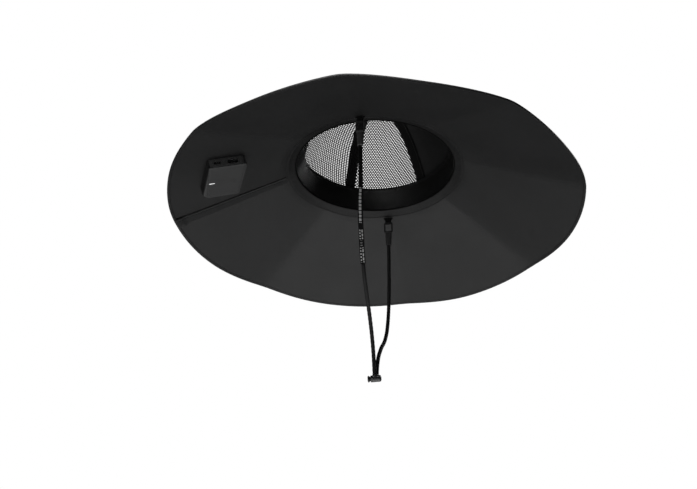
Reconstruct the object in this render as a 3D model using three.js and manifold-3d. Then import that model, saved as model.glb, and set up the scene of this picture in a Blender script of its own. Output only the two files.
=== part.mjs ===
// Sun hat with a solar brim: an eight-panel brim that falls outwards, a dome crown with
// open mesh sides, a controller box under one back panel and a cord chin strap.
// Millimetres, +Z up, +X the wearer's front, +Y the wearer's left.
// The origin is the middle of the head opening, where brim and sweatband meet.
import * as THREE from "three";
import { mergeVertices } from "three/addons/utils/BufferGeometryUtils.js";
import Module from "manifold-3d";

const wasm = await Module();
wasm.setup();

// Driving sizes in millimetres, angles in degrees
const GAP = 0.3;
const OPENING = { halfX: 93.4, halfY: 92.1 };
const OVAL = OPENING.halfY / OPENING.halfX;

const BRIM = {
  rimRadius: 240,
  scallop: 1.5,
  innerRadius: 95.2,
  thickness: 2,
  fall: 0.352,
  fallStart: 93,
  panels: 8,
  flatness: 0.73,
  flatFrom: 94,
  flatTo: 112,
  rows: [0, 0.07, 0.12, 0.26, 0.42, 0.6, 0.8, 1],
  stepsPerPanel: 6,
};
const BINDING = { leg: 3.6, thickness: 0.8 };
const FLAP = {
  from: -5,
  to: 8.5,
  nearThickness: 2.9,
  farThickness: 0.8,
  fromRadius: 106,
  toRadius: 238.2,
  liftFrom: 227,
  liftTo: 233.5,
};
const COLLAR = { width: 9.6, drop: 2.4, gap: 0.5 };
const SOLAR_GAP = 0.45;
const SWEATBAND = { bottom: 0.25, top: 29.4, thickness: 1.8, lean: 2.8, steps: 48 };
const CROWN = { bottom: 1.9, thickness: 1.4, domeSteps: 10, seamGap: 0.35, topRadius: 8 };
const TAPE = { width: 10, thickness: 1, gap: 0.4, bottom: 30.2 };
const CROWN_BUTTON = { radius: 9.5, height: 2.6, stemRadius: 7.3, stemDepth: 2.2 };
const SOLAR = { inner: 116, outer: 213, sideMargin: 8, corner: 8, thickness: 1.6 };

// How far the worn brim hangs at the rim below its regular form: a row for each fold,
// with the middle of the panel that follows it round to the left
const BRIM_DROPS = [
  { fold: 0, atFold: 3.5, atMiddle: 2.5 },
  { fold: 45, atFold: 0.5, atMiddle: 0.5 },
  { fold: 90, atFold: -1.5, atMiddle: -2 },
  { fold: 135, atFold: -3.5, atMiddle: -2.5 },
  { fold: 180, atFold: -2.5, atMiddle: -6.5 },
  { fold: 225, atFold: -1, atMiddle: 2.5 },
  { fold: 270, atFold: 2.5, atMiddle: 6 },
  { fold: 315, atFold: 5.5, atMiddle: 8.5 },
];

// The crown's inner face, from the brim up to the top: height and radius
const CROWN_PROFILE = [
  { z: CROWN.bottom, r: 95.5 },
  { z: 16, r: 94.0 },
  { z: 30, r: 92.2 },
  { z: 42, r: 87.8 },
  { z: 58, r: 79.4 },
  { z: 74, r: 69.5 },
  { z: 88, r: 57.0 },
  { z: 98, r: 43.5 },
  { z: 105, r: 26.0 },
  { z: 107.8, r: CROWN.topRadius },
];

// Crown panels between their seams, in degrees round from the front
const CROWN_PANELS = [
  { name: "crown_front", from: -61, to: 61, steps: 16, open: false },
  { name: "crown_mesh_left", from: 61, to: 118.5, steps: 8, open: true },
  { name: "crown_mesh_back", from: 118.5, to: 241.5, steps: 16, open: true },
  { name: "crown_mesh_right", from: 241.5, to: 299, steps: 8, open: true },
];
const CROWN_SEAMS = [
  { name: "seam_tape_front_left", azimuth: 61 },
  { name: "seam_tape_back_left", azimuth: 118.5 },
  { name: "seam_tape_back_right", azimuth: -118.5 },
  { name: "seam_tape_front_right", azimuth: -61 },
];

// Controller box, in the frame of the brim panel at this azimuth and radius:
// out and down the panel, across it, and up from its lower face
const BOX = {
  azimuth: -157.5,
  radius: 182,
  out: -3,
  across: -5.5,
  length: 45.5,
  width: 62,
  bottom: -12.4,
  portHeight: -6.9,
  corner: 5,
  edge: 1.8,
};
const USB_A = { out: -9, width: 13.1, height: 5.7, depth: 14, wall: 0.35, tongue: 1.9 };
const USB_C = { out: 9, width: 9.2, height: 3.6, depth: 8, wall: 0.3, tongue: 0.7 };
const INDICATOR = { out: 12.3, across: -7.4, length: 8.6, width: 2.4, thickness: 0.9, proud: 0.25 };

// Chin strap: tab, oblong ring and cord end on each side
const ANCHOR = 105.8;
const TAB = { width: 7, neck: 2, loopRadius: 2.5, holeRadius: 1.5 };
const RING = { width: 11, top: -10.5, bottom: -26.7, bar: 1.6, corner: 3, windowCorner: 0.6 };
const CORD_END = { bottom: -44.6, topWidth: 7.2, bottomWidth: 6.2, bottomThickness: 4.8 };
const CORD = { diameter: 4.1, curveSegments: 4, stepDiameters: 2.2 };
const RIBBON = { width: 5.6, thickness: 1.2, steps: 26 };
const LOCK = {
  centreZ: -276.7,
  radius: 3.7,
  openEnd: -7.45,
  closedEnd: 4,
  boreRadius: 2.7,
  boreEnd: 1.4,
  headRadius: 3.6,
  headEnd: -10.6,
  headThickness: 1.2,
  stemRadius: 2.35,
  stemEnd: -0.9,
  sides: 20,
};

// Route of the left cord, from its cord end down to the lock
const LEFT_CORD_ROUTE = [
  [0, 105.8, -44.9],
  [0, 105.9, -60],
  [-0.2, 105.9, -80],
  [-0.3, 105.4, -100],
  [-0.5, 103.5, -118],
  [-0.6, 100.2, -135],
  [-0.7, 93.6, -155],
  [-0.8, 82.3, -177],
  [-0.9, 66.5, -196],
  [-0.9, 53.4, -207.7],
  [-1, 38.5, -219.8],
  [-1, 26.1, -231.6],
  [-1.1, 16.8, -241.5],
  [-1.1, 9.4, -252],
  [-1, 3.9, -263],
  [-1, 2, -272.7],
];

// Route of the right side: the flat ribbon with its turn away from facing forwards
const RIBBON_ROUTE = [
  { at: [0, -105.8, -45.2], turn: 50 },
  { at: [-0.3, -104.2, -62], turn: 52 },
  { at: [-0.8, -99.8, -85], turn: 58 },
  { at: [-1.3, -94.2, -108], turn: 62 },
  { at: [-1.8, -88.2, -131], turn: 58 },
  { at: [-2.1, -84, -146], turn: 34 },
  { at: [-2.4, -80.2, -160], turn: 12 },
  { at: [-2.7, -75.6, -174], turn: 4 },
];

// Route of the right cord, from the end of the ribbon down to the lock
const RIGHT_CORD_ROUTE = [
  [-2.72, -75.45, -174.3],
  [-2.8, -72.6, -181],
  [-2.9, -65.5, -190],
  [-3, -54.5, -198.5],
  [-3.1, -47, -203.6],
  [-3.2, -38.6, -209.5],
  [-3.3, -28.6, -217.8],
  [-3.4, -19, -227],
  [-3.5, -11, -237],
  [-3.6, -5.4, -248],
  [-3.7, -3, -260],
  [-3.7, -2, -272.7],
];

const material = (color, roughness, metalness = 0) =>
  new THREE.MeshStandardMaterial({ color, roughness, metalness });

const MATERIALS = {
  brimFabric: material(0x222325, 0.72),
  binding: material(0x18191a, 0.85),
  crownFabric: material(0x1f2022, 0.8),
  meshFabric: material(0xa9abab, 0.9),
  tape: material(0x141415, 0.85),
  sweatband: material(0x1c1d1f, 0.7),
  solarLaminate: material(0x10131b, 0.3),
  boxPlastic: material(0x37383a, 0.55),
  indicator: material(0xe8e8e6, 0.4),
  portMetal: material(0xb4b6b8, 0.3, 1),
  portPlastic: material(0x0c0c0d, 0.5),
  webbing: material(0x17181a, 0.85),
  ribbon: material(0x1a1b1d, 0.8),
  cord: material(0x121213, 0.85),
  hardPlastic: material(0x1b1c1e, 0.45),
};

const hat = new THREE.Group();

function add(name, geometry, surface, parent = hat) {
  const mesh = new THREE.Mesh(geometry, surface);
  mesh.name = name;
  parent.add(mesh);
}

const radians = THREE.MathUtils.degToRad;
const degrees = THREE.MathUtils.radToDeg;
const mix = THREE.MathUtils.lerp;
const ease = (value, from, to) => THREE.MathUtils.smoothstep(value, from, to);

// Body helpers

// A closed body from its points and triangles, turned so that its faces point out
function body(points, triangles) {
  const geometry = new THREE.BufferGeometry().setFromPoints(points);
  let volume = 0;
  for (let i = 0; i < triangles.length; i += 3) {
    const [a, b, c] = [points[triangles[i]], points[triangles[i + 1]], points[triangles[i + 2]]];
    volume += a.dot(b.clone().cross(c));
  }
  geometry.setIndex(volume > 0 ? triangles : triangles.toReversed());
  return geometry;
}

// A wall between two faces of a grid; side 0 is the lower or inner face, side 1 the other
function wall(rows, columns, pointAt, closed = false) {
  const across = closed ? columns : columns + 1;
  const points = [];
  const triangles = [];
  for (const side of [0, 1]) {
    for (let row = 0; row <= rows; row += 1) {
      for (let column = 0; column < across; column += 1) {
        points.push(pointAt(row / rows, column / columns, side));
      }
    }
  }
  const at = (side, row, column) => (side * (rows + 1) + row) * across + (column % across);
  const quad = (a, b, c, d) => triangles.push(a, b, c, a, c, d);
  for (let row = 0; row < rows; row += 1) {
    for (let column = 0; column < columns; column += 1) {
      quad(at(0, row, column), at(0, row + 1, column), at(0, row + 1, column + 1), at(0, row, column + 1));
      quad(at(1, row, column), at(1, row, column + 1), at(1, row + 1, column + 1), at(1, row + 1, column));
    }
  }
  for (let column = 0; column < columns; column += 1) {
    quad(at(0, 0, column), at(0, 0, column + 1), at(1, 0, column + 1), at(1, 0, column));
    quad(at(0, rows, column), at(1, rows, column), at(1, rows, column + 1), at(0, rows, column + 1));
  }
  if (!closed) {
    for (let row = 0; row < rows; row += 1) {
      quad(at(0, row, 0), at(1, row, 0), at(1, row + 1, 0), at(0, row + 1, 0));
      quad(at(0, row, columns), at(0, row + 1, columns), at(1, row + 1, columns), at(1, row, columns));
    }
  }
  return body(points, triangles);
}

// A ring swept from a closed outline that sectionAt gives for each azimuth
function ring(steps, sectionAt) {
  const sections = Array.from({ length: steps }, (_, step) => sectionAt((360 * step) / steps));
  const sides = sections[0].length;
  const triangles = [];
  for (let step = 0; step < steps; step += 1) {
    const next = (step + 1) % steps;
    for (let side = 0; side < sides; side += 1) {
      const after = (side + 1) % sides;
      const [a, b] = [step * sides + side, step * sides + after];
      const [c, d] = [next * sides + after, next * sides + side];
      triangles.push(a, b, c, a, c, d);
    }
  }
  return body(sections.flat(), triangles);
}

function manifoldOf(geometry) {
  const bare = geometry.clone();
  bare.deleteAttribute("normal");
  bare.deleteAttribute("uv");
  const merged = mergeVertices(bare, 1e-4);
  return new wasm.Manifold(
    new wasm.Mesh({
      numProp: 3,
      vertProperties: new Float32Array(merged.attributes.position.array),
      triVerts: new Uint32Array(merged.index.array),
    }),
  );
}

function geometryOf(manifold) {
  const mesh = manifold.getMesh();
  const geometry = new THREE.BufferGeometry();
  geometry.setAttribute("position", new THREE.BufferAttribute(mesh.vertProperties, 3));
  geometry.setIndex(new THREE.BufferAttribute(mesh.triVerts, 1));
  return geometry;
}

// A prism of an outline, extruded either way from the middle of its depth.
// "flat" lies in XY, "side" has its outline in YZ and "front" in XZ.
const PLANES = {
  flat: [new THREE.Vector3(1, 0, 0), new THREE.Vector3(0, 1, 0), new THREE.Vector3(0, 0, 1)],
  side: [new THREE.Vector3(0, 1, 0), new THREE.Vector3(0, 0, 1), new THREE.Vector3(1, 0, 0)],
  front: [new THREE.Vector3(1, 0, 0), new THREE.Vector3(0, 0, 1), new THREE.Vector3(0, -1, 0)],
};

function prism(outline, depth, plane, curveSegments = 4) {
  const geometry = new THREE.ExtrudeGeometry(outline, { depth, bevelEnabled: false, curveSegments });
  geometry.translate(0, 0, -depth / 2);
  geometry.applyMatrix4(new THREE.Matrix4().makeBasis(...PLANES[plane]));
  return geometry;
}

// An outline through its corners, each rounded off by the same length
function roundedOutline(corners, corner, Kind = THREE.Shape) {
  const outline = new Kind();
  corners.forEach((point, index) => {
    const before = corners[(index + corners.length - 1) % corners.length];
    const after = corners[(index + 1) % corners.length];
    const entry = point.clone().add(before.clone().sub(point).setLength(corner));
    const exit = point.clone().add(after.clone().sub(point).setLength(corner));
    if (index === 0) outline.moveTo(entry.x, entry.y);
    else outline.lineTo(entry.x, entry.y);
    outline.quadraticCurveTo(point.x, point.y, exit.x, exit.y);
  });
  outline.closePath();
  return outline;
}

function rectangle(width, height, corner, Kind = THREE.Shape) {
  const [x, y] = [width / 2, height / 2];
  const corners = [
    new THREE.Vector2(-x, -y),
    new THREE.Vector2(x, -y),
    new THREE.Vector2(x, y),
    new THREE.Vector2(-x, y),
  ];
  return roundedOutline(corners, corner, Kind);
}

// Brim surface

const PANEL_ANGLE = 360 / BRIM.panels;
const STEPS_AROUND = BRIM.panels * BRIM.stepsPerPanel;

function polar(radius, azimuth, z) {
  return new THREE.Vector3(radius * Math.cos(radians(azimuth)), radius * Math.sin(radians(azimuth)), z);
}

// Angle from the middle of the panel that an azimuth is in
function fromMiddle(azimuth) {
  return azimuth - (Math.floor(azimuth / PANEL_ANGLE) + 0.5) * PANEL_ANGLE;
}

// How much more a panel falls than the folds beside it: flat panels between raised folds
function panelFall(azimuth, flatness) {
  const flat = Math.cos(radians(fromMiddle(azimuth))) / Math.cos(radians(PANEL_ANGLE / 2));
  return 1 + flatness * (flat - 1);
}

// How far the rim hangs low at an azimuth, eased between the folds and the panels' middles
function rimDrop(azimuth) {
  const panels = (((azimuth / PANEL_ANGLE) % BRIM.panels) + BRIM.panels) % BRIM.panels;
  const row = BRIM_DROPS[Math.floor(panels)];
  const next = BRIM_DROPS[(Math.floor(panels) + 1) % BRIM.panels];
  const across = 2 * (panels % 1);
  if (across < 1) return mix(row.atFold, row.atMiddle, ease(across, 0, 1));
  return mix(row.atMiddle, next.atFold, ease(across, 1, 2));
}

function undersideZ(radius, azimuth) {
  const flatness = BRIM.flatness * ease(radius, BRIM.flatFrom, BRIM.flatTo);
  const outwards = Math.max(0, (radius - BRIM.flatTo) / (BRIM.rimRadius - BRIM.flatTo));
  const regular = -BRIM.fall * (radius * panelFall(azimuth, flatness) - BRIM.fallStart);
  return regular - outwards * rimDrop(azimuth);
}

function rimRadius(azimuth) {
  return BRIM.rimRadius - BRIM.scallop * Math.cos(Math.PI * (fromMiddle(azimuth) / PANEL_ANGLE));
}

// The radius of an oval round the opening that is as wide as given at the front
function ovalRadius(frontRadius, azimuth) {
  const angle = radians(azimuth);
  return (frontRadius * OVAL) / Math.hypot(OVAL * Math.cos(angle), Math.sin(angle));
}

const CLOTH_INSET = BINDING.thickness + GAP;

const LAST_ROW = BRIM.rows.length - 1;

// A point of the brim's facets, from its inner edge (0) to its outer edge (1)
function brimPoint(out, azimuth, lift) {
  const inner = ovalRadius(BRIM.innerRadius, azimuth);
  const row = BRIM.rows[Math.round(out * LAST_ROW)];
  const radius = mix(inner, rimRadius(azimuth) - CLOTH_INSET, row);
  return polar(radius, azimuth, undersideZ(radius, azimuth) + lift);
}

function makeBrim() {
  const pointAt = (out, around, side) => brimPoint(out, 360 * around, side * BRIM.thickness);
  add("brim", wall(LAST_ROW, STEPS_AROUND, pointAt, true), MATERIALS.brimFabric);
}

// The binding is a folded tape round the rim, with a leg above and a leg below the cloth
function makeBinding() {
  const sectionAt = (azimuth) => {
    const rim = rimRadius(azimuth);
    const inside = rim - CLOTH_INSET;
    const legEnd = rim - BINDING.leg;
    const above = BRIM.thickness + GAP;
    const outline = [
      [legEnd, -GAP],
      [inside + GAP, -GAP],
      [inside + GAP, above],
      [legEnd, above],
      [legEnd, above + BINDING.thickness],
      [rim - 0.3 * BINDING.thickness, above + BINDING.thickness],
      [rim, above],
      [rim, -GAP],
      [rim - 0.3 * BINDING.thickness, -GAP - BINDING.thickness],
      [legEnd, -GAP - BINDING.thickness],
    ];
    return outline.map(([radius, up]) => polar(radius, azimuth, undersideZ(radius, azimuth) + up));
  };
  add("brim_binding", ring(STEPS_AROUND, sectionAt), MATERIALS.binding);
}

// The seam at the centre back is covered by a strip, thick on one edge and thin on the
// other, that steps down over the binding
function makeBackFlap() {
  const overBinding = BINDING.thickness + GAP;
  const pointAt = (out, across, side) => {
    const x = -mix(FLAP.fromRadius, FLAP.toRadius, out);
    const y = mix(FLAP.from, FLAP.to, across);
    const radius = Math.hypot(x, y);
    const azimuth = degrees(Math.atan2(y, x));
    const thickness = mix(FLAP.nearThickness, FLAP.farThickness, across);
    const down = GAP + overBinding * ease(radius, FLAP.liftFrom, FLAP.liftTo) + thickness * (1 - side);
    return new THREE.Vector3(x, y, undersideZ(radius, azimuth) - down);
  };
  add("back_seam_flap", wall(20, 4, pointAt), MATERIALS.brimFabric);
}

// The padded collar is a soft roll under the brim round the head opening
function makeCollar() {
  const sectionAt = (azimuth) => {
    const inner = ovalRadius(OPENING.halfX, azimuth);
    const { width, drop, gap } = COLLAR;
    const under = (out) => undersideZ(inner + out, azimuth) - gap;
    const outline = [
      [0, -0.15],
      [1.7, under(1.7) - 0.1],
      [width, under(width)],
      [width, under(width) - 0.25 * drop],
      [0.86 * width, under(0.86 * width) - 0.75 * drop],
      [0.6 * width, under(0.6 * width) - drop],
      [0.32 * width, under(0.32 * width) - 0.95 * drop],
      [0.1 * width, -0.15 - 0.8 * drop],
      [0, -0.15 - 0.35 * drop],
    ];
    return outline.map(([out, z]) => polar(inner + out, azimuth, z));
  };
  add("opening_collar", ring(STEPS_AROUND, sectionAt), MATERIALS.brimFabric);
}

// Crown and sweatband

function makeSweatband() {
  const inner = OPENING.halfX - 0.7;
  const pointAt = (up, around, side) => {
    const azimuth = 360 * around;
    const front = inner - SWEATBAND.lean * up + side * SWEATBAND.thickness;
    const z = mix(SWEATBAND.bottom, SWEATBAND.top, up);
    return polar(ovalRadius(front, azimuth), azimuth, z);
  };
  add("sweatband", wall(2, SWEATBAND.steps, pointAt, true), MATERIALS.sweatband);
}

const crownCurve = new THREE.SplineCurve(CROWN_PROFILE.map(({ z, r }) => new THREE.Vector2(r, z)));

// A point of the crown's profile, moved outwards along its normal
function crownPoint(along, outwards) {
  const point = crownCurve.getPointAt(along);
  const tangent = crownCurve.getTangentAt(along);
  return new THREE.Vector2(point.x + outwards * tangent.y, point.y - outwards * tangent.x);
}

function ovalPolar(frontRadius, azimuth, z) {
  const point = polar(frontRadius, azimuth, z);
  point.y *= OVAL;
  return point;
}

// Where along the profile the dome rises over the sweatband
function domeStart() {
  const steps = 400;
  let step = 0;
  while (crownPoint(step / steps, 0).y < TAPE.bottom) step += 1;
  return step / steps;
}

// Panels have one row of facets beside the sweatband, then equal rows up the dome.
// Row 0 is the brim, row 1 the foot of the dome and the last row the top.
const DOME_START = domeStart();
const CROWN_ROWS = CROWN.domeSteps + 1;
const alongAtRow = (row) => (row < 1 ? row * DOME_START : mix(DOME_START, 1, (row - 1) / CROWN.domeSteps));

function makeCrownPanels() {
  for (const { name, from, to, steps, open } of CROWN_PANELS) {
    const pointAt = (up, around, side) => {
      const { x: radius, y: z } = crownPoint(alongAtRow(up * CROWN_ROWS), side * CROWN.thickness);
      const seam = degrees(CROWN.seamGap / radius);
      return ovalPolar(radius, mix(from + seam, to - seam, around), z);
    };
    const surface = open ? MATERIALS.meshFabric : MATERIALS.crownFabric;
    add(name, wall(CROWN_ROWS, steps, pointAt), surface);
  }
}

// Tapes cover the crown's seams on the inside, from the sweatband to one row below the top
function makeSeamTapes() {
  const rows = CROWN.domeSteps - 1;
  for (const { name, azimuth } of CROWN_SEAMS) {
    const pointAt = (up, across, side) => {
      const outwards = -TAPE.gap - TAPE.thickness * (1 - side);
      const { x: radius, y: z } = crownPoint(alongAtRow(1 + up * rows), outwards);
      const spread = degrees(Math.asin((TAPE.width * (across - 0.5)) / radius));
      return ovalPolar(radius, azimuth + spread, z);
    };
    add(name, wall(rows, 2, pointAt), MATERIALS.tape);
  }
}

// A cloth-covered button closes the top, where the panels meet
function makeCrownButton() {
  const seat = crownPoint(1, CROWN.thickness).y + GAP;
  const { radius, height, stemRadius, stemDepth } = CROWN_BUTTON;
  const profile = [
    [0, seat - stemDepth],
    [stemRadius, seat - stemDepth],
    [stemRadius, seat],
    [radius, seat],
    [radius, seat + 0.4 * height],
    [0.75 * radius, seat + 0.85 * height],
    [0, seat + height],
  ];
  const geometry = new THREE.LatheGeometry(profile.map(([x, y]) => new THREE.Vector2(x, y)), 16);
  geometry.rotateX(Math.PI / 2);
  add("crown_button", geometry, MATERIALS.crownFabric);
}

// Solar panels lie on the brim, one on each of its panels, with their corners rounded off
function makeSolarPanels() {
  const { inner, outer, corner, sideMargin, thickness } = SOLAR;
  const rows = [
    { out: inner, cut: corner },
    { out: inner + 0.25 * corner, cut: 0.35 * corner },
    { out: inner + corner, cut: 0 },
    { out: (inner + outer) / 2, cut: 0 },
    { out: outer - corner, cut: 0 },
    { out: outer - 0.25 * corner, cut: 0.35 * corner },
    { out: outer, cut: corner },
  ];
  for (let panel = 0; panel < BRIM.panels; panel += 1) {
    const middle = (panel + 0.5) * PANEL_ANGLE;
    const pointAt = (along, across, side) => {
      const { out, cut } = rows[Math.round(along * (rows.length - 1))];
      const halfWidth = out * Math.tan(radians(PANEL_ANGLE / 2)) - sideMargin - cut;
      const sideways = halfWidth * (2 * across - 1);
      const radius = Math.hypot(out, sideways);
      const azimuth = middle + degrees(Math.atan2(sideways, out));
      const up = BRIM.thickness + SOLAR_GAP + side * thickness;
      return polar(radius, azimuth, undersideZ(radius, azimuth) + up);
    };
    add(`solar_panel_${panel + 1}`, wall(rows.length - 1, 6, pointAt), MATERIALS.solarLaminate);
  }
}

// A frame that touches the brim's lower face: X out and down the panel, Y across, Z up

function undersidePoint(radius, azimuth) {
  return polar(radius, azimuth, undersideZ(radius, azimuth));
}

function undersideFrame(azimuth, radius) {
  const reach = 20;
  const swing = degrees(reach / radius);
  const out = undersidePoint(radius + reach, azimuth).sub(undersidePoint(radius - reach, azimuth));
  const across = undersidePoint(radius, azimuth + swing).sub(undersidePoint(radius, azimuth - swing));
  out.normalize();
  const up = out.clone().cross(across).normalize();
  const frame = new THREE.Group();
  frame.applyMatrix4(new THREE.Matrix4().makeBasis(out, up.clone().cross(out), up));
  frame.position.copy(undersidePoint(radius, azimuth));
  hat.add(frame);
  return frame;
}

// Controller box and its two ports

// A port's bore, shell or tongue, run in from the face that looks across the panel
function portPrism(port, width, height, depth, fromFace, corner) {
  const face = BOX.across + BOX.width / 2;
  const geometry = prism(rectangle(width, height, corner), depth, "front", 3);
  geometry.translate(port.out, face - fromFace - depth / 2, BOX.portHeight);
  return geometry;
}

function makePort(name, port, frame) {
  const shellWidth = port.width - 2 * GAP;
  const shellHeight = port.height - 2 * GAP;
  const corner = name === "usb_c" ? shellHeight / 2 - 0.05 : 0.5;
  const inset = 0.2;
  const depth = port.depth - GAP - inset;
  const shell = manifoldOf(portPrism(port, shellWidth, shellHeight, depth, inset, corner));
  const hollowWidth = shellWidth - 2 * port.wall;
  const hollowHeight = shellHeight - 2 * port.wall;
  const hollowCorner = Math.min(corner, hollowHeight / 2 - 0.05);
  const hollow = manifoldOf(portPrism(port, hollowWidth, hollowHeight, depth, inset - 1, hollowCorner));
  add(`${name}_shell`, geometryOf(shell.subtract(hollow)), MATERIALS.portMetal, frame);
  const tongueWidth = hollowWidth - 1.4;
  const tongueDepth = depth - 2;
  const tongue = portPrism(port, tongueWidth, port.tongue, tongueDepth, inset + 0.7, 0.2);
  if (name === "usb_a") tongue.translate(0, 0, hollowHeight / 2 - port.tongue / 2 - GAP);
  add(`${name}_tongue`, tongue, MATERIALS.portPlastic, frame);
}

// All that lies above the lower face of one brim panel, less the gap to it
function aboveUnderside(azimuth) {
  const from = azimuth - PANEL_ANGLE / 2;
  const pointAt = (out, around, side) => {
    const lift = side === 0 ? -GAP : BOX.width;
    return brimPoint(out, from + PANEL_ANGLE * around, lift);
  };
  return wall(LAST_ROW, BRIM.stepsPerPanel, pointAt);
}

function makeControlBox() {
  const frame = undersideFrame(BOX.azimuth, BOX.radius);
  const outline = rectangle(BOX.length - 2 * BOX.edge, BOX.width - 2 * BOX.edge, BOX.corner);
  const rounded = new THREE.ExtrudeGeometry(outline, {
    depth: -BOX.bottom,
    bevelThickness: BOX.edge,
    bevelSize: BOX.edge,
    bevelSegments: 3,
    curveSegments: 4,
  });
  rounded.translate(BOX.out, BOX.across, BOX.bottom + BOX.edge);
  const brimSide = aboveUnderside(BOX.azimuth);
  frame.updateMatrixWorld();
  brimSide.applyMatrix4(frame.matrixWorld.clone().invert());
  const recess = prism(
    rectangle(INDICATOR.length + 2 * GAP, INDICATOR.width + 2 * GAP, INDICATOR.width / 2),
    2 * INDICATOR.thickness,
    "flat",
  );
  recess.translate(INDICATOR.out, INDICATOR.across, BOX.bottom);
  const housing = manifoldOf(rounded)
    .subtract(manifoldOf(brimSide))
    .subtract(manifoldOf(recess))
    .subtract(manifoldOf(portPrism(USB_A, USB_A.width, USB_A.height, USB_A.depth + 1, -1, 0.8)))
    .subtract(manifoldOf(portPrism(USB_C, USB_C.width, USB_C.height, USB_C.depth + 1, -1, 1.7)));
  add("control_box", geometryOf(housing), MATERIALS.boxPlastic, frame);
  makePort("usb_a", USB_A, frame);
  makePort("usb_c", USB_C, frame);
  const lens = prism(
    rectangle(INDICATOR.length, INDICATOR.width, 0.45 * INDICATOR.width),
    INDICATOR.thickness,
    "flat",
  );
  lens.translate(
    INDICATOR.out,
    INDICATOR.across,
    BOX.bottom - INDICATOR.proud + INDICATOR.thickness / 2,
  );
  add("box_indicator", lens, MATERIALS.indicator, frame);
}

// Chin strap hardware on one side: 1 is the left, -1 the right

function roundHole(y, z, radius) {
  return new THREE.Path().absarc(y, z, radius, 0, 2 * Math.PI);
}

function makeTab(name, side) {
  const centre = side * ANCHOR;
  const loopZ = RING.top - RING.bar / 2;
  const half = TAB.neck / 2;
  const turn = Math.asin(half / TAB.loopRadius);
  const edge = TAB.width / 2;
  const top = (y) => undersideZ(Math.hypot(y, edge), degrees(Math.atan2(y, edge))) - GAP;
  const outline = new THREE.Shape();
  outline.moveTo(centre - half, top(centre - half));
  outline.absarc(centre, loopZ, TAB.loopRadius, Math.PI / 2 + turn, Math.PI / 2 - turn + 2 * Math.PI);
  outline.lineTo(centre + half, top(centre + half));
  outline.closePath();
  outline.holes.push(roundHole(centre, loopZ, TAB.holeRadius));
  add(name, prism(outline, TAB.width, "side", 7), MATERIALS.webbing);
}

function makeRing(name, side) {
  const tall = RING.top - RING.bottom;
  const outline = rectangle(RING.width, tall, RING.corner);
  const { bar, windowCorner } = RING;
  const window = rectangle(RING.width - 2 * bar, tall - 2 * bar, windowCorner, THREE.Path);
  outline.holes.push(window);
  const geometry = prism(outline, RING.bar, "front");
  geometry.translate(0, side * ANCHOR, (RING.top + RING.bottom) / 2);
  add(name, geometry, MATERIALS.hardPlastic);
}

// The cord end loops round the ring's lower bar and narrows to the cord
function makeCordEnd(name, side) {
  const centre = side * ANCHOR;
  const loopZ = RING.bottom + RING.bar / 2;
  const half = CORD_END.bottomThickness / 2;
  const thick = new THREE.Shape();
  thick.moveTo(centre - half, CORD_END.bottom);
  thick.lineTo(centre + half, CORD_END.bottom);
  thick.absarc(centre, loopZ, TAB.loopRadius, 0, Math.PI);
  thick.closePath();
  thick.holes.push(roundHole(centre, loopZ, TAB.holeRadius));
  const wideTop = loopZ + TAB.loopRadius;
  const wide = roundedOutline(
    [
      new THREE.Vector2(-CORD_END.bottomWidth / 2, CORD_END.bottom),
      new THREE.Vector2(CORD_END.bottomWidth / 2, CORD_END.bottom),
      new THREE.Vector2(CORD_END.topWidth / 2, wideTop),
      new THREE.Vector2(-CORD_END.topWidth / 2, wideTop),
    ],
    0.8,
  );
  const across = prism(wide, 4 * TAB.loopRadius, "front");
  across.translate(0, centre, 0);
  const joined = manifoldOf(prism(thick, 2 * CORD_END.topWidth, "side", 7)).intersect(manifoldOf(across));
  add(name, geometryOf(joined), MATERIALS.hardPlastic);
}

// Cords and ribbon

function makeCord(name, route) {
  const path = new THREE.CatmullRomCurve3(route.map((point) => new THREE.Vector3(...point)));
  const section = new THREE.Shape();
  section.absarc(0, 0, CORD.diameter / 2, 0, 2 * Math.PI);
  const steps = Math.round(path.getLength() / (CORD.stepDiameters * CORD.diameter));
  const geometry = new THREE.ExtrudeGeometry(section, {
    steps,
    extrudePath: path,
    curveSegments: CORD.curveSegments,
  });
  add(name, geometry, MATERIALS.cord);
}

function makeRibbon() {
  const path = new THREE.CatmullRomCurve3(RIBBON_ROUTE.map(({ at }) => new THREE.Vector3(...at)));
  const turns = new THREE.SplineCurve(RIBBON_ROUTE.map(({ turn }, row) => new THREE.Vector2(row, turn)));
  const pointAt = (along, across, side) => {
    const place = path.getPoint(along);
    const tangent = path.getTangent(along);
    const turn = radians(turns.getPoint(along).y);
    const face = new THREE.Vector3(Math.cos(turn), Math.sin(turn), 0);
    face.addScaledVector(tangent, -face.dot(tangent)).normalize();
    const normal = face.clone().cross(tangent);
    return place
      .addScaledVector(face, RIBBON.width * (across - 0.5))
      .addScaledVector(normal, RIBBON.thickness * (side - 0.5));
  };
  add("strap_ribbon", wall(RIBBON.steps, 1, pointAt), MATERIALS.ribbon);
}

// Cord lock: a barrel along X with a spring button in its open end

function latheAlongX(profile, z) {
  const points = profile.map(([radius, x]) => new THREE.Vector2(radius, x));
  const geometry = new THREE.LatheGeometry(points, LOCK.sides);
  geometry.rotateZ(-Math.PI / 2);
  geometry.translate(0, 0, z);
  return geometry;
}

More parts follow.
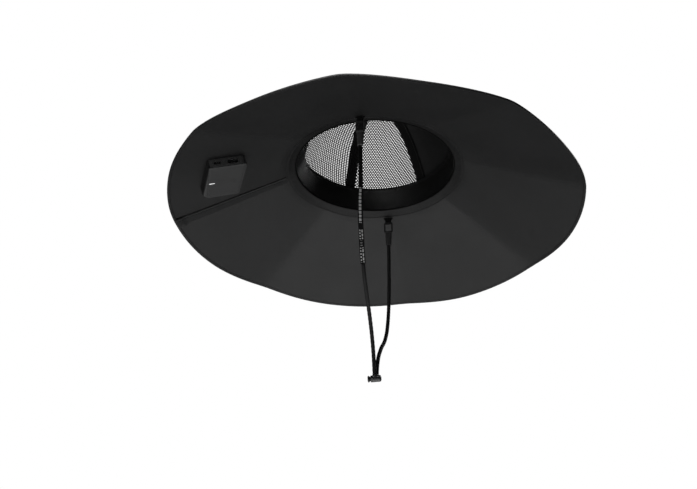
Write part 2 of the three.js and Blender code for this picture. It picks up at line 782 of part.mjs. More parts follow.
function makeCordLock() {
  const { radius, openEnd, closedEnd, boreRadius, boreEnd, centreZ } = LOCK;
  const barrel = [
    [0, boreEnd],
    [boreRadius, boreEnd],
    [boreRadius, openEnd],
    [radius - 0.35, openEnd],
    [radius, openEnd + 0.4],
    [radius, closedEnd - 1.7],
    [radius - 0.5, closedEnd - 0.6],
    [radius - 1.7, closedEnd],
    [0, closedEnd],
  ];
  add("cord_lock_body", latheAlongX(barrel, centreZ), MATERIALS.hardPlastic);
  const headBack = LOCK.headEnd + LOCK.headThickness;
  const button = [
    [0, LOCK.headEnd],
    [LOCK.headRadius - 0.4, LOCK.headEnd],
    [LOCK.headRadius, LOCK.headEnd + 0.4],
    [LOCK.headRadius - 0.6, headBack],
    [LOCK.stemRadius, headBack],
    [LOCK.stemRadius, LOCK.stemEnd],
    [0, LOCK.stemEnd],
  ];
  add("cord_lock_button", latheAlongX(button, centreZ), MATERIALS.hardPlastic);
}

makeBrim();
makeBinding();
makeBackFlap();
makeCollar();
makeSweatband();
makeCrownPanels();
makeSeamTapes();
makeCrownButton();
makeSolarPanels();
makeControlBox();
for (const [word, side] of [["left", 1], ["right", -1]]) {
  makeTab(`strap_tab_${word}`, side);
  makeRing(`strap_ring_${word}`, side);
  makeCordEnd(`cord_end_${word}`, side);
}
makeCord("cord_left", LEFT_CORD_ROUTE);
makeRibbon();
makeCord("cord_right", RIGHT_CORD_ROUTE);
makeCordLock();

export default hat;
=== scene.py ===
import bpy
import numpy as np
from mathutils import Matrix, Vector
from numpy import arange, array, clip, concatenate, cos, cross, degrees, exp, hypot, linspace
from numpy import maximum, minimum, pi, radians, sin, sqrt, stack, where


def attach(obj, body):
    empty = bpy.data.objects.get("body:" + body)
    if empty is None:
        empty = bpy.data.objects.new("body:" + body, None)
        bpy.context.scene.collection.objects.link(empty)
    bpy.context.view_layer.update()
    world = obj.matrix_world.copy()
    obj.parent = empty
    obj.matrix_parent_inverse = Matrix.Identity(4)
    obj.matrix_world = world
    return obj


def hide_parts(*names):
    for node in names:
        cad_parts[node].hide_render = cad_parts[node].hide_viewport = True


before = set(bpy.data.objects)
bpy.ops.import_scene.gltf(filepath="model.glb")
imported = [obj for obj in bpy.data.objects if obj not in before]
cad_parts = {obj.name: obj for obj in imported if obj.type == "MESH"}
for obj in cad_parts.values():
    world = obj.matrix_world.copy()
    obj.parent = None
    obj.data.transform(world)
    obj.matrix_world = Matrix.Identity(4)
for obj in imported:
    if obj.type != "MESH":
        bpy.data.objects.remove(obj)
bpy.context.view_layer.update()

# Lengths in this script are millimetres and become metres as a mesh is made. Angles round the
# hat are degrees, from its front towards its left.
MM = 0.001

CAMERA = {
    "location": (0.19008, -1.26698, -0.90375),
    "forward": (-0.146445, 0.836618, 0.527848),
    "lens": 68.411,
}

# The hat's form, as its solids have it
OPENING_FRONT = 93.4
OVAL = 92.1 / 93.4
BRIM_INNER = 95.2
BRIM_THICKNESS = 2.0
BRIM_FALL = 0.352
BRIM_FALL_START = 93.0
BRIM_FLATNESS = 0.73
BRIM_FLAT_FROM = 94.0
BRIM_FLAT_TO = 112.0
RIM_RADIUS = 240.0
RIM_SCALLOP = 1.5
RIM_INSET = 1.1
RIM_ROLL = 1.8
PANELS = 8
PANEL_ANGLE = 360.0 / PANELS
FOLD_ROUNDING = (3.0, 8.5)

# How far the rim hangs low at each fold, from the front one round, and at the middle after it
BRIM_DROPS = [
    (3.5, 2.5), (0.5, 0.5), (-1.5, -2.0), (-3.5, -2.5), (-2.5, -6.5), (-1.0, 2.5), (2.5, 6.0),
    (5.5, 8.5),
]

# The crown's inner face: radius and height
CROWN_PROFILE = [
    (95.5, 1.9), (94.0, 16.0), (92.2, 30.0), (87.8, 42.0), (79.4, 58.0), (69.5, 74.0), (57.0, 88.0),
    (43.5, 98.0), (26.0, 105.0), (8.0, 107.8),
]
CROWN_THICKNESS = 1.4
CROWN_SEAM_GAP = 0.35

LEFT_CORD_ROUTE = [
    (0, 105.8, -44.9), (0, 105.9, -60), (-0.2, 105.9, -80), (-0.3, 105.4, -100),
    (-0.5, 103.5, -118), (-0.6, 100.2, -135), (-0.7, 93.6, -155), (-0.8, 82.3, -177),
    (-0.9, 66.5, -196), (-0.9, 53.4, -207.7), (-1, 38.5, -219.8), (-1, 26.1, -231.6),
    (-1.1, 16.8, -241.5), (-1.1, 9.4, -252), (-1.1, 3.9, -263), (-1.2, 1.9, -272.7),
    (-1.2, 1.9, -273.7),
]
# The ribbon's route, with its turn away from facing forwards in degrees
RIBBON_ROUTE = [
    (0, -105.8, -45.2, 50), (-0.3, -104.2, -62, 52), (-0.8, -99.8, -85, 50),
    (-1.5, -97.1, -96.5, 38), (-2.3, -94.2, -108, 28), (-3.1, -88.2, -131, 22), (-3, -84, -146, 13),
    (-3.1, -80.2, -160, 7), (-2.9, -75.6, -174, 3), (-2.8, -74.3, -177.2, 1),
]
RIGHT_CORD_ROUTE = [
    (-2.8, -74.1, -177.6), (-2.8, -72.6, -181), (-2.9, -65.5, -190), (-3, -54.5, -198.5),
    (-3.1, -47, -203.6), (-3.2, -38.6, -209.5), (-3.3, -28.6, -217.8), (-3.4, -19, -227),
    (-3.5, -11, -237), (-3.5, -5.4, -248), (-3.3, -3, -260), (-3.0, -1.9, -272.7),
    (-3.0, -1.9, -273.7),
]
CORD_DIAMETER = 4.1
RIBBON_WIDTH = 5.6
RIBBON_THICKNESS = 1.2
ANCHOR = 105.8


# Camera, placed before anything else is made

def aim(made, location, forward):
    made.location = location
    made.rotation_mode = "QUATERNION"
    made.rotation_quaternion = Vector(forward).to_track_quat("-Z", "Y")
    bpy.context.scene.collection.objects.link(made)


def make_camera():
    data = bpy.data.cameras.new("camera")
    data.lens = CAMERA["lens"]
    data.sensor_width = 36.0
    data.clip_end = 50.0
    camera = bpy.data.objects.new("camera", data)
    aim(camera, CAMERA["location"], CAMERA["forward"])
    bpy.context.scene.camera = camera


# Material building

class Nodes:
    """Shorthand for a tree of nodes. A value is a number, a colour or a socket."""

    def __init__(self, owner):
        owner.use_nodes = True
        self.tree = owner.node_tree

    def plug(self, socket, value):
        if isinstance(value, (int, float, tuple)):
            socket.default_value = value
        else:
            self.tree.links.new(value, socket)

    def node(self, kind, values=(), **settings):
        """values has the name or number of each input that is set."""
        made = self.tree.nodes.new("ShaderNode" + kind)
        for key, value in settings.items():
            setattr(made, key, value)
        for key, value in dict(values).items():
            self.plug(made.inputs[key], value)
        return made

    def pale(self, shader, shown):
        """The camera sees shown; light meets the shader."""
        camera = self.node("LightPath").outputs["Is Camera Ray"]
        values = {0: camera, 1: shader.outputs[0], 2: shown.outputs[0]}
        return self.node("MixShader", values).outputs[0]


class Net(Nodes):
    """The nodes of one material."""

    def __init__(self, name, roughness, specular=0.5, **sockets):
        self.material = bpy.data.materials.new(name)
        super().__init__(self.material)
        self.shader = self.tree.nodes["Principled BSDF"]
        self.shader.inputs["Roughness"].default_value = roughness
        self.shader.inputs["Specular IOR Level"].default_value = specular
        for key, value in sockets.items():
            self.shader.inputs[key.replace("_", " ")].default_value = value

    def math(self, operation, *values):
        return self.node("Math", enumerate(values), operation=operation).outputs[0]

    def mix(self, factor, low, high):
        return self.node("Mix", {0: factor, 6: low, 7: high}, data_type="RGBA").outputs[2]

    def remap(self, value, from_low, from_high, low, high):
        return self.node("MapRange", enumerate((value, from_low, from_high, low, high))).outputs[0]

    def noise(self, scale, detail=3.0, roughness=0.55, stretch=(1.0, 1.0, 1.0)):
        place = self.node("TexCoord").outputs["Object"]
        if max(stretch) > 1.0:
            place = self.node("Mapping", {"Vector": place, "Scale": stretch}).outputs[0]
        values = {"Vector": place, "Scale": scale, "Detail": detail, "Roughness": roughness}
        return self.node("TexNoise", values).outputs["Fac"]

    def flat(self):
        """The two flat coordinates of the cloth, in millimetres."""
        split = self.node("SeparateXYZ", {0: self.node("UVMap").outputs[0]})
        return split.outputs[0], split.outputs[1]

    def wave(self, value, pitch):
        return self.math("SINE", self.math("MULTIPLY", value, 2 * pi / pitch))

    def lines(self, value, pitch, width):
        """1 on lines of that width at each pitch, 0 between them."""
        return self.math("LESS_THAN", self.math("PINGPONG", value, pitch / 2), width / 2)

    def between(self, value, low, high):
        above = self.math("GREATER_THAN", value, low)
        return self.math("MULTIPLY", above, self.math("LESS_THAN", value, high))

    def bump(self, *layers):
        """Each layer is a height and its depth in millimetres."""
        values = {"Strength": 1.0}
        for height, depth in layers:
            values.update(Height=height, Distance=depth * MM)
            values["Normal"] = self.node("Bump", values).outputs[0]
        self.plug(self.shader.inputs["Normal"], values["Normal"])

    def colour(self, value):
        self.plug(self.shader.inputs["Base Color"], value)

    def tone(self, value, low, high, dark, light):
        """Greys from dark to light as the value goes from low to high."""
        self.colour(self.mix(self.remap(value, low, high, 0.0, 1.0), grey(dark), grey(light)))

    def rough(self, value, low, high, smooth, coarse):
        self.plug(self.shader.inputs["Roughness"], self.remap(value, low, high, smooth, coarse))


def grey(level):
    return (level, level, level, 1.0)


SLUB = 0.12


def cloth(name, level, pitch, depth, roughness, specular):
    """Plain weave with slubs, patchy wear and a soft broad gloss."""
    net = Net(name, roughness, specular)
    across, along = net.flat()
    weave = net.math("MULTIPLY", net.wave(across, pitch), net.wave(along, pitch))
    fine, broad = net.noise(900.0, 2.0), net.noise(14.0, 4.0)
    shade = net.math("MULTIPLY_ADD", fine, SLUB, net.math("MULTIPLY_ADD", weave, SLUB, broad))
    net.tone(shade, 0.25, 0.85, level * 0.88, level * 1.12)
    net.rough(broad, 0.3, 0.7, roughness - 0.04, roughness + 0.05)
    net.bump((weave, depth), (fine, depth * 0.5))
    return net.material


def tape_cloth(name, level, rib, roughness, specular):
    """Narrow woven tape with ribs across it."""
    net = Net(name, roughness, specular)
    across, along = net.flat()
    ribs = net.wave(along, rib)
    twill = net.wave(net.math("ADD", across, along), rib * 1.6)
    broad = net.noise(60.0)
    net.tone(net.math("MULTIPLY_ADD", ribs, 0.12, broad), 0.2, 0.8, level * 0.75, level * 1.3)
    net.rough(broad, 0.3, 0.7, roughness - 0.06, roughness + 0.06)
    net.bump((ribs, 0.05), (twill, 0.03))
    return net.material


def thread(name, level):
    """Twisted sewing thread."""
    net = Net(name, 0.5, 0.4)
    strands = net.noise(2600.0, 2.0)
    net.colour(net.mix(strands, grey(level * 0.7), grey(level * 1.4)))
    net.bump((strands, 0.02))
    return net.material


def fibrous(name, level, roughness, specular, fibre, patch, contrast, depth):
    """Fibres in patches of wear; the threads themselves are in the mesh."""
    net = Net(name, roughness, specular)
    fibres = net.noise(fibre, 2.0)
    tone = net.math("MULTIPLY_ADD", fibres, 0.5, net.math("MULTIPLY", net.noise(*patch), 0.5))
    net.tone(tone, 0.3, 0.7, level * contrast[0], level * contrast[1])
    net.bump((fibres, depth))
    return net.material


def knit(name, level):
    """Knitted threads of the open mesh."""
    return fibrous(name, level, 0.8, 0.1, 1800.0, (30.0, 3.0), (0.8, 1.2), 0.06)


def braid(name, level):
    """Braided polyester cord."""
    return fibrous(name, level, 0.7, 0.15, 2400.0, (40.0, 4.0), (0.7, 1.35), 0.05)


def grained(net, grain):
    """A fine spark-eroded grain; gives the faint handling marks."""
    net.bump((net.noise(1500.0, 2.0), grain))
    return net.noise(55.0, 5.0, 0.65)


def moulded(name, level, roughness, grain=0.03, specular=0.35):
    """Moulded plastic."""
    net = Net(name, roughness, specular)
    marks = grained(net, grain)
    net.tone(marks, 0.3, 0.7, level * 0.92, level * 1.08)
    net.rough(marks, 0.25, 0.75, roughness - 0.07, roughness + 0.09)
    return net.material


def box_housing(name):
    """Moulded plastic; its rim-side wall is coloured much darker, a painted shade on that side."""
    net = Net(name, 0.6, 0.08)
    marks = grained(net, 0.03)
    normal = net.node("NewGeometry").outputs["Normal"]
    facing = net.node("VectorMath", {0: normal, 1: tuple(BOX_OUT)}, operation="DOT_PRODUCT")
    # Painted shade: faces turned out towards the rim get a near-black colour, standing in for the shade on
    # that wall.
    painted_shade_mask = net.remap(facing.outputs["Value"], 0.35, 0.8, 0.0, 1.0)
    shell_colour = net.mix(marks, grey(0.038), grey(0.05))
    net.colour(net.mix(painted_shade_mask, shell_colour, net.mix(marks, grey(0.007), grey(0.01))))
    net.rough(marks, 0.25, 0.75, 0.53, 0.69)
    return net.material


def metal(name):
    """Stamped and plated sheet metal."""
    net = Net(name, 0.28, Metallic=1.0)
    brushed = net.noise(700.0, stretch=(1.0, 1.0, 9.0))
    net.colour(net.mix(net.noise(120.0), grey(0.5), grey(0.68)))
    net.rough(brushed, 0.3, 0.7, 0.22, 0.38)
    net.bump((brushed, 0.01))
    return net.material


SOLAR_CELL = (26.0, 24.0)
SOLAR_GAP = 1.1
CELL_BLUES = ((0.006, 0.009, 0.022, 1), (0.011, 0.018, 0.05, 1))
CELL_GROUND = (0.012, 0.012, 0.013, 1)
CELL_SILVER = (0.30, 0.31, 0.33, 1)


def solar_cells(name):
    """Dark cells under clear film, with fine silver fingers and two bus bars a cell."""
    net = Net(name, 0.22, 0.4, Coat_Weight=0.6, Coat_Roughness=0.12)
    across, along = net.flat()
    width, length = SOLAR_CELL
    gaps = net.math("MAXIMUM", net.lines(across, width, SOLAR_GAP), net.lines(along, length, SOLAR_GAP))
    bars = net.lines(net.math("ADD", across, width / 4), width / 2, 0.9)
    fingers = net.math("MULTIPLY", net.lines(along, 1.5, 0.16), 0.35)
    silver = net.math("MULTIPLY", net.math("MAXIMUM", bars, fingers), net.math("SUBTRACT", 1.0, gaps))
    crystals = net.remap(net.noise(45.0, 5.0, 0.6), 0.35, 0.65, 0.0, 1.0)
    ground = net.mix(gaps, net.mix(crystals, *CELL_BLUES), CELL_GROUND)
    net.colour(net.mix(silver, ground, CELL_SILVER))
    film = net.noise(220.0)
    net.rough(film, 0.3, 0.7, 0.17, 0.3)
    net.bump((film, 0.03), (silver, 0.02))
    return net.material


# Stretches of the ribbon with dashes, with bars and with small ticks between the bars
RIBBON_DASHES = (50.5, 90.5)
RIBBON_BARS = ((98.4, 109.0), (118.4, 134.6))
RIBBON_TICKS = (110.4, 117.0)
RIBBON_INK = (0.42, 0.42, 0.415, 1)


def printed_ribbon(name, level):
    """Flat woven ribbon with pale dashes on one edge and a run of plain pale bars."""
    net = Net(name, 0.75, 0.15)
    across, along = net.flat()

    def marks(low, high, place, pitch, width):
        return net.math("MULTIPLY", net.between(across, low, high), net.lines(place, pitch, width))

    ground = net.remap(net.noise(60.0), 0.3, 0.7, 0.0, 1.0)
    ground = net.mix(ground, grey(level * 0.8), grey(level * 1.25))
    dashes = marks(1.0, 3.7, along, 4.15, 3.0)
    bars = net.math(
        "MAXIMUM", marks(0.7, 2.0, along, 3.3, 1.8), marks(3.1, 4.5, net.math("ADD", along, 1.2), 4.4, 3.1)
    )
    ticks = net.math("MULTIPLY", marks(1.4, 3.6, along, 2.9, 1.2), 0.45)
    ink = net.math("MULTIPLY", net.between(along, *RIBBON_DASHES), dashes)
    for stretch, pattern in ((RIBBON_BARS[0], bars), (RIBBON_BARS[1], bars), (RIBBON_TICKS, ticks)):
        ink = net.math("MAXIMUM", ink, net.math("MULTIPLY", net.between(along, *stretch), pattern))
    net.colour(net.mix(ink, ground, RIBBON_INK))
    net.bump((net.wave(along, 0.55), 0.04), (ink, 0.03))
    return net.material


MATERIALS = {}


def make_materials():
    MATERIALS.update({
        "brim": cloth("brim_cloth", 0.006, 0.5, 0.02, 0.5, 0.24),
        "crown": cloth("crown_cloth", 0.006, 0.5, 0.025, 0.55, 0.16),
        "collar": cloth("collar_cloth", 0.004, 0.5, 0.02, 0.5, 0.175),
        "sweatband": cloth("sweatband_cloth", 0.0036, 0.8, 0.03, 0.29, 0.36),
        "binding": cloth("binding_tape", 0.006, 0.7, 0.02, 0.5, 0.25),
        "tape": tape_cloth("seam_tape", 0.003, 0.8, 0.75, 0.07),
        # Painted shade: near-black cloth for the tube laid in the crease at the opening, where only shade
        # falls.
        "crease_shade": tape_cloth("opening_crease_shade", 0.003, 0.6, 0.9, 0.03),
        "webbing": tape_cloth("strap_webbing", 0.005, 0.9, 0.85, 0.08),
        "thread": thread("sewing_thread", 0.009),
        "mesh": knit("mesh_knit", 0.01),
        "solar": solar_cells("solar_cells"),
        "border": cloth("solar_border_cloth", 0.009, 0.45, 0.03, 0.6, 0.2),
        "housing": box_housing("box_housing"),
        "plate": moulded("box_plate", 0.026, 0.5, 0.02, 0.25),
        "indicator": moulded("indicator_lens", 0.92, 0.35, 0.005),
        "metal": metal("port_metal"),
        "port": moulded("port_plastic", 0.008, 0.5),
        "hard": moulded("strap_plastic", 0.021, 0.55, 0.01, 0.08),
        # Painted light: a lighter, glossier copy of the strap plastic for the right ring and cord end,
        # standing in for the brighter light on that side.
        "lit_hard": moulded("strap_plastic_right_lit", 0.035, 0.42, 0.01, 0.3),
        "lock": moulded("lock_plastic", 0.012, 0.26, 0.01, 0.5),
        "cord": braid("cord_braid", 0.004),
        # Painted light: a lighter copy of the cord braid for the right cord, standing in for the sheen and
        # light it catches.
        "lit_cord": braid("cord_braid_right_lit", 0.012),
        "ribbon": printed_ribbon("ribbon_weave", 0.005),
    })


# Mesh building

def mesh_object(name, points, faces, material, uvs=None, sharp=42.0):
    mesh = bpy.data.meshes.new(name)
    mesh.from_pydata((np.asarray(points, float) * MM).tolist(), [], faces)
    if uvs is not None:
        layer = mesh.uv_layers.new(name="UVMap")
        layer.data.foreach_set("uv", np.asarray(uvs, np.float32).ravel())
    mesh.polygons.foreach_set("use_smooth", [True] * len(mesh.polygons))
    mesh.set_sharp_from_angle(angle=radians(sharp))
    mesh.materials.append(MATERIALS[material])
    mesh.validate()
    made = bpy.data.objects.new(name, mesh)
    bpy.context.scene.collection.objects.link(made)
    return made


def finish_piece(made, slot, *nodes, body="hat"):
    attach(made, body)
    if nodes:
        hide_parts(*nodes)
    return made


def closed_body(name, points, faces, uvs, material, sharp):
    """A closed body with its faces turned outwards. uvs has a list of pairs for each face."""
    fans = array([(face[0], a, b) for face in faces for a, b in zip(face[1:], face[2:])])
    a, b, c = (points[fans[:, corner]] for corner in range(3))
    if np.sum(a * cross(b, c)) < 0:
        faces = [face[::-1] for face in faces]
        uvs = [pairs[::-1] for pairs in uvs]
    return mesh_object(name, points, faces, material, concatenate(uvs), sharp)


def strip(across, along):
    """Flat coordinates of a plain strip: one number for each column and one for each row."""
    return lambda row, column, face_column: (across[column], along[row])


def shell(name, lower, upper, material, flat, closed=False, sharp=42.0):
    """A closed wall between two point grids (rows, columns, 3). flat gives a corner's flat
    coordinates from its row, its unwrapped column and the column of its face."""
    rows, columns = lower.shape[:2]
    around = columns if closed else columns - 1
    points = concatenate([lower.reshape(-1, 3), upper.reshape(-1, 3)])
    faces, uvs = [], []

    def quads(face_column, *corners):
        index = [(side * rows + r) * columns + c % columns for side, r, c in corners]
        pairs = [stack(flat(r, c, face_column), axis=-1) for _, r, c in corners]
        faces.extend(stack(index, axis=1).tolist())
        uvs.extend(stack(pairs, axis=1).tolist())

    r, c = (grid.ravel() for grid in np.indices((rows - 1, around)))
    quads(c, (0, r, c), (0, r + 1, c), (0, r + 1, c + 1), (0, r, c + 1))
    quads(c, (1, r, c), (1, r, c + 1), (1, r + 1, c + 1), (1, r + 1, c))
    c = arange(around)
    r, last = 0 * c, 0 * c + rows - 1
    quads(c, (0, r, c), (0, r, c + 1), (1, r, c + 1), (1, r, c))
    quads(c, (0, last, c), (1, last, c), (1, last, c + 1), (0, last, c + 1))
    if not closed:
        r = arange(rows - 1)
        for edge, turn in ((0, 1), (columns - 1, -1)):
            e = 0 * r + edge
            corners = [(0, r, e), (1, r, e), (1, r + 1, e), (0, r + 1, e)][::turn]
            quads(minimum(e, around - 1), *corners)
    return closed_body(name, points, faces, uvs, material, sharp)


def swept(name, sections, material, closed=False, sharp=42.0):
    """A body through closed sections, an array (steps, sides, 3); open ends are capped."""
    steps, sides = sections.shape[:2]
    spans = lengths(sections.mean(1))
    along = running(concatenate([spans, [spans.mean()]]))
    girth = running(lengths(concatenate([sections[0], sections[0][:1]])))
    step, side = (grid.ravel() for grid in np.indices((steps if closed else steps - 1, sides)))
    corners = ((0, 0), (0, 1), (1, 1), (1, 0))
    index = [(step + up) % steps * sides + (side + over) % sides for up, over in corners]
    pairs = [stack([girth[side + over], along[step + up]], axis=-1) for up, over in corners]
    faces, uvs = stack(index, axis=1).tolist(), stack(pairs, axis=1).tolist()
    if not closed:
        for step, turn in ((0, -1), (steps - 1, 1)):
            ring = arange(sides)[::turn]
            faces.append((step * sides + ring).tolist())
            uvs.append([(girth[entry], along[step]) for entry in ring])
    return closed_body(name, sections.reshape(-1, 3), faces, uvs, material, sharp)


def lengths(points):
    return np.linalg.norm(np.diff(points, axis=0), axis=1)


def running(steps):
    """Distances along, from the length of each step."""
    return concatenate([[0], np.cumsum(steps)])


def catmull(points, per_span, mirrored=1.0):
    """A smooth line with that many steps in each span. Its end spans are bent by a point
    mirrored past each end, or with 0 by the end point itself, as the crown's solids have it."""
    points = np.asarray(points, float)
    before = points[0] + mirrored * (points[0] - points[1])
    after = points[-1] + mirrored * (points[-1] - points[-2])
    line = concatenate([[before], points, [after]])
    share = (arange(per_span) / per_span)[:, None]
    made = []
    for p0, p1, p2, p3 in zip(line, line[1:], line[2:], line[3:]):
        bend = (2 * p0 - 5 * p1 + 4 * p2 - p3) * share**2 + (3 * p1 - p0 - 3 * p2 + p3) * share**3
        made.append(p1 + 0.5 * ((p2 - p0) * share + bend))
    return concatenate(made + [points[-1:]])


def resample(points, step):
    """The same line with even steps; extra columns are carried along."""
    along = running(lengths(points[:, :3]))
    places = linspace(0, along[-1], max(2, int(round(along[-1] / step)) + 1))
    return stack([np.interp(places, along, column) for column in points.T], axis=1)


def unit(vectors):
    return vectors / maximum(np.linalg.norm(vectors, axis=-1, keepdims=True), 1e-12)


def across_only(vectors, along):
    """Unit vectors without the part that runs along."""
    return unit(vectors - along * np.sum(vectors * along, axis=-1, keepdims=True))


def tangents(points):
    return unit(np.gradient(points, axis=0))


def carried_frames(points, first):
    """Two directions across a line that don't twist along it."""
    along = tangents(points)
    sides = [first]
    for tangent in along:
        sides.append(across_only(sides[-1], tangent))
    return array(sides[1:]), cross(along, sides[1:])


def turns(count):
    """Angles once round in that many steps, in radians."""
    return linspace(0, 2 * pi, count, endpoint=False)


# Stitches are short bowed grains of thread, laid end to end along a line

STITCH_RINGS = [(-0.42, 0.7), (-0.2, 1.0), (0.2, 1.0), (0.42, 0.7)]
STITCH_SIDES = 6
THREAD_LIFT = 0.12
UP = (0.0, 0.0, 1.0)
DOWN = (0.0, 0.0, -1.0)


def stitch_template(length, width):
    points = [(-length / 2, 0, -0.35 * width)]
    for place, share in STITCH_RINGS:
        lift = 0.32 * width * (1 - (2 * place) ** 2)
        reach = share * width / 2
        for turn in turns(STITCH_SIDES):
            points.append((place * length, reach * cos(turn), lift + 0.8 * reach * sin(turn)))
    points.append((length / 2, 0, -0.35 * width))
    faces = []
    for side in range(STITCH_SIDES):
        after = (side + 1) % STITCH_SIDES
        bases = [1 + ring * STITCH_SIDES for ring in range(len(STITCH_RINGS))]
        faces.append([0, 1 + after, 1 + side])
        for low, high in zip(bases, bases[1:]):
            faces.append([low + side, low + after, high + after, high + side])
        faces.append([bases[-1] + side, bases[-1] + after, len(points) - 1])
    return array(points), faces


def stitches(name, rows, material, slot, pitch=3.4, length=2.7, width=0.42):
    """rows is a list of (points, normals): the line that is sewn and the way out of the cloth."""
    template, pattern = stitch_template(length, width)
    grains = []
    for points, normals in rows:
        normals = np.broadcast_to(normals, points.shape)
        table = resample(concatenate([points, normals], axis=1), pitch)
        middle = (table[1:] + table[:-1]) / 2
        along = unit(np.diff(table[:, :3], axis=0))
        out = across_only(middle[:, 3:], along)
        axes = stack([along, cross(out, along), out], axis=1)
        grains.append(middle[:, None, :3] + template @ axes)
    grains = concatenate(grains)
    bases = range(0, grains.shape[0] * grains.shape[1], len(template))
    faces = [[base + index for index in face] for base in bases for face in pattern]
    made = mesh_object(name, grains.reshape(-1, 3), faces, material, None, 80.0)
    return finish_piece(made, slot)


# Brim surface

UPPER_RIPPLE = 0.6
BRIM_STITCHES_ASIDE = 3.1


def ease(value, low, high):
    share = clip((value - low) / (high - low), 0, 1)
    return share * share * (3 - 2 * share)


def bell(value, middle, width):
    return exp(-(((value - middle) / width) ** 2))


def from_middle(azimuth):
    return azimuth - (np.floor(azimuth / PANEL_ANGLE) + 0.5) * PANEL_ANGLE


def fold_distance(radius, azimuth):
    return radians(PANEL_ANGLE / 2 - abs(from_middle(azimuth))) * radius


def rim_drop(azimuth):
    panels = azimuth / PANEL_ANGLE % PANELS
    index = panels.astype(int) % PANELS
    share = 2 * (panels % 1.0)
    folds, middles = array(BRIM_DROPS).T
    to_middle = (middles - folds)[index] * ease(share, 0, 1)
    to_fold = (np.roll(folds, -1) - middles)[index] * ease(share, 1, 2)
    return folds[index] + to_middle + to_fold


def underside_z(radius, azimuth):
    """Height of the brim's lower face; the folds are rounded over a few millimetres."""
    radius, azimuth = np.broadcast_arrays(np.asarray(radius, float), np.asarray(azimuth, float))
    half = PANEL_ANGLE / 2
    outwards = maximum((radius - BRIM_FLAT_TO) / (RIM_RADIUS - BRIM_FLAT_TO), 0)
    at_opening, at_rim = FOLD_ROUNDING
    rounding = degrees((at_opening + (at_rim - at_opening) * minimum(outwards, 1)) / radius)
    soft = hypot(half - abs(from_middle(azimuth)), rounding)
    flatness = BRIM_FLATNESS * ease(radius, BRIM_FLAT_FROM, BRIM_FLAT_TO)
    flat = cos(radians(maximum(half - soft, 0))) / cos(radians(half))
    fall = 1 + flatness * (flat - 1)
    return -BRIM_FALL * (radius * fall - BRIM_FALL_START) - outwards * rim_drop(azimuth)


def rim_radius(azimuth):
    return RIM_RADIUS + RIM_ROLL - RIM_SCALLOP * cos(pi * from_middle(azimuth) / PANEL_ANGLE)


def oval_radius(front, azimuth):
    angle = radians(azimuth)
    return front * OVAL / hypot(OVAL * cos(angle), sin(angle))


def polar(radius, azimuth, z):
    radius, azimuth, z = np.broadcast_arrays(radius, azimuth, z)
    angle = radians(azimuth)
    return stack([radius * cos(angle), radius * sin(angle), z], axis=-1)


def ripple(radius, azimuth):
    """Slow unevenness of the cloth, a few tenths of a millimetre, fading near the opening."""
    angle = radians(azimuth)
    slow = sin(5 * angle + 0.021 * radius) * sin(0.043 * radius + 3 * angle)
    return (0.22 * slow + 0.1 * sin(13 * angle - 0.05 * radius)) * ease(radius, 105, 140)


def pucker(radius, azimuth):
    """Fine gathers beside each seam and along the bound rim."""
    by_seam = bell(fold_distance(radius, azimuth), 4.5, 3) * ease(radius, 100, 120)
    by_rim = bell(rim_radius(azimuth) - radius, 6, sqrt(14))
    along_seam = sin(radius * 2 * pi / 7.3 + 0.9 * sin(radius / 9))
    along_rim = sin(radians(azimuth) * 210 + sin(azimuth / 7))
    return 0.09 * by_seam * along_seam + 0.08 * by_rim * along_rim


def seam_groove(radius, azimuth):
    """The line where two panels meet: a narrow valley between two soft lips."""
    to_fold = fold_distance(radius, azimuth)
    return 0.22 * bell(to_fold, 1.9, 1.1) - 0.45 * bell(to_fold, 0, 0.7)


def make_brim():
    by_fold = linspace(0, 0.05, 6, endpoint=False)
    shares = concatenate([by_fold, linspace(0.05, 0.95, 22, endpoint=False), 0.95 + by_fold])
    azimuths = concatenate([(panel + shares) * PANEL_ANGLE for panel in range(PANELS)])
    rows = concatenate([linspace(0, 0.12, 9, endpoint=False), linspace(0.12, 1, 62)])
    inner = oval_radius(BRIM_INNER, azimuths)
    radius = inner + (rim_radius(azimuths) - RIM_INSET - inner) * rows[:, None]
    base = underside_z(radius, azimuths)
    fade = 1 - ease(radius, 232, 238)
    wavy = ripple(radius, azimuths)
    gathers = pucker(radius, azimuths)
    lower = polar(radius, azimuths, base + wavy - 0.35 * gathers * fade)
    relief = (gathers + seam_groove(radius, azimuths)) * fade
    upper = polar(radius, azimuths, base + BRIM_THICKNESS + wavy * UPPER_RIPPLE + relief)
    count = len(azimuths)

    def flat(r, c, face_column):
        middle = (face_column // len(shares) + 0.5) * PANEL_ANGLE
        turn = radians(azimuths[c % count] + 360.0 * (c // count) - middle)
        return radius[r, c % count] * sin(turn), radius[r, c % count] * cos(turn)

    made = shell("brim_cloth", lower, upper, "brim", flat, closed=True)
    finish_piece(made, "brim_fabric", "brim")
    seams = []
    reach = linspace(112, 234, 90)
    for panel in range(PANELS):
        for aside in (-BRIM_STITCHES_ASIDE, BRIM_STITCHES_ASIDE):
            azimuth = panel * PANEL_ANGLE + degrees(aside / reach)
            top = underside_z(reach, azimuth) + BRIM_THICKNESS + UPPER_RIPPLE * ripple(reach, azimuth)
            seams.append((polar(reach, azimuth, top + THREAD_LIFT), UP))
    stitches("brim_seam_stitches", seams, "thread", "brim_fabric")


BINDING_LEG = 3.5
BINDING_THICKNESS = 0.45
BINDING_EDGE = 0.5
BINDING_LOW = -0.08
BINDING_TOP = BRIM_THICKNESS + 0.08


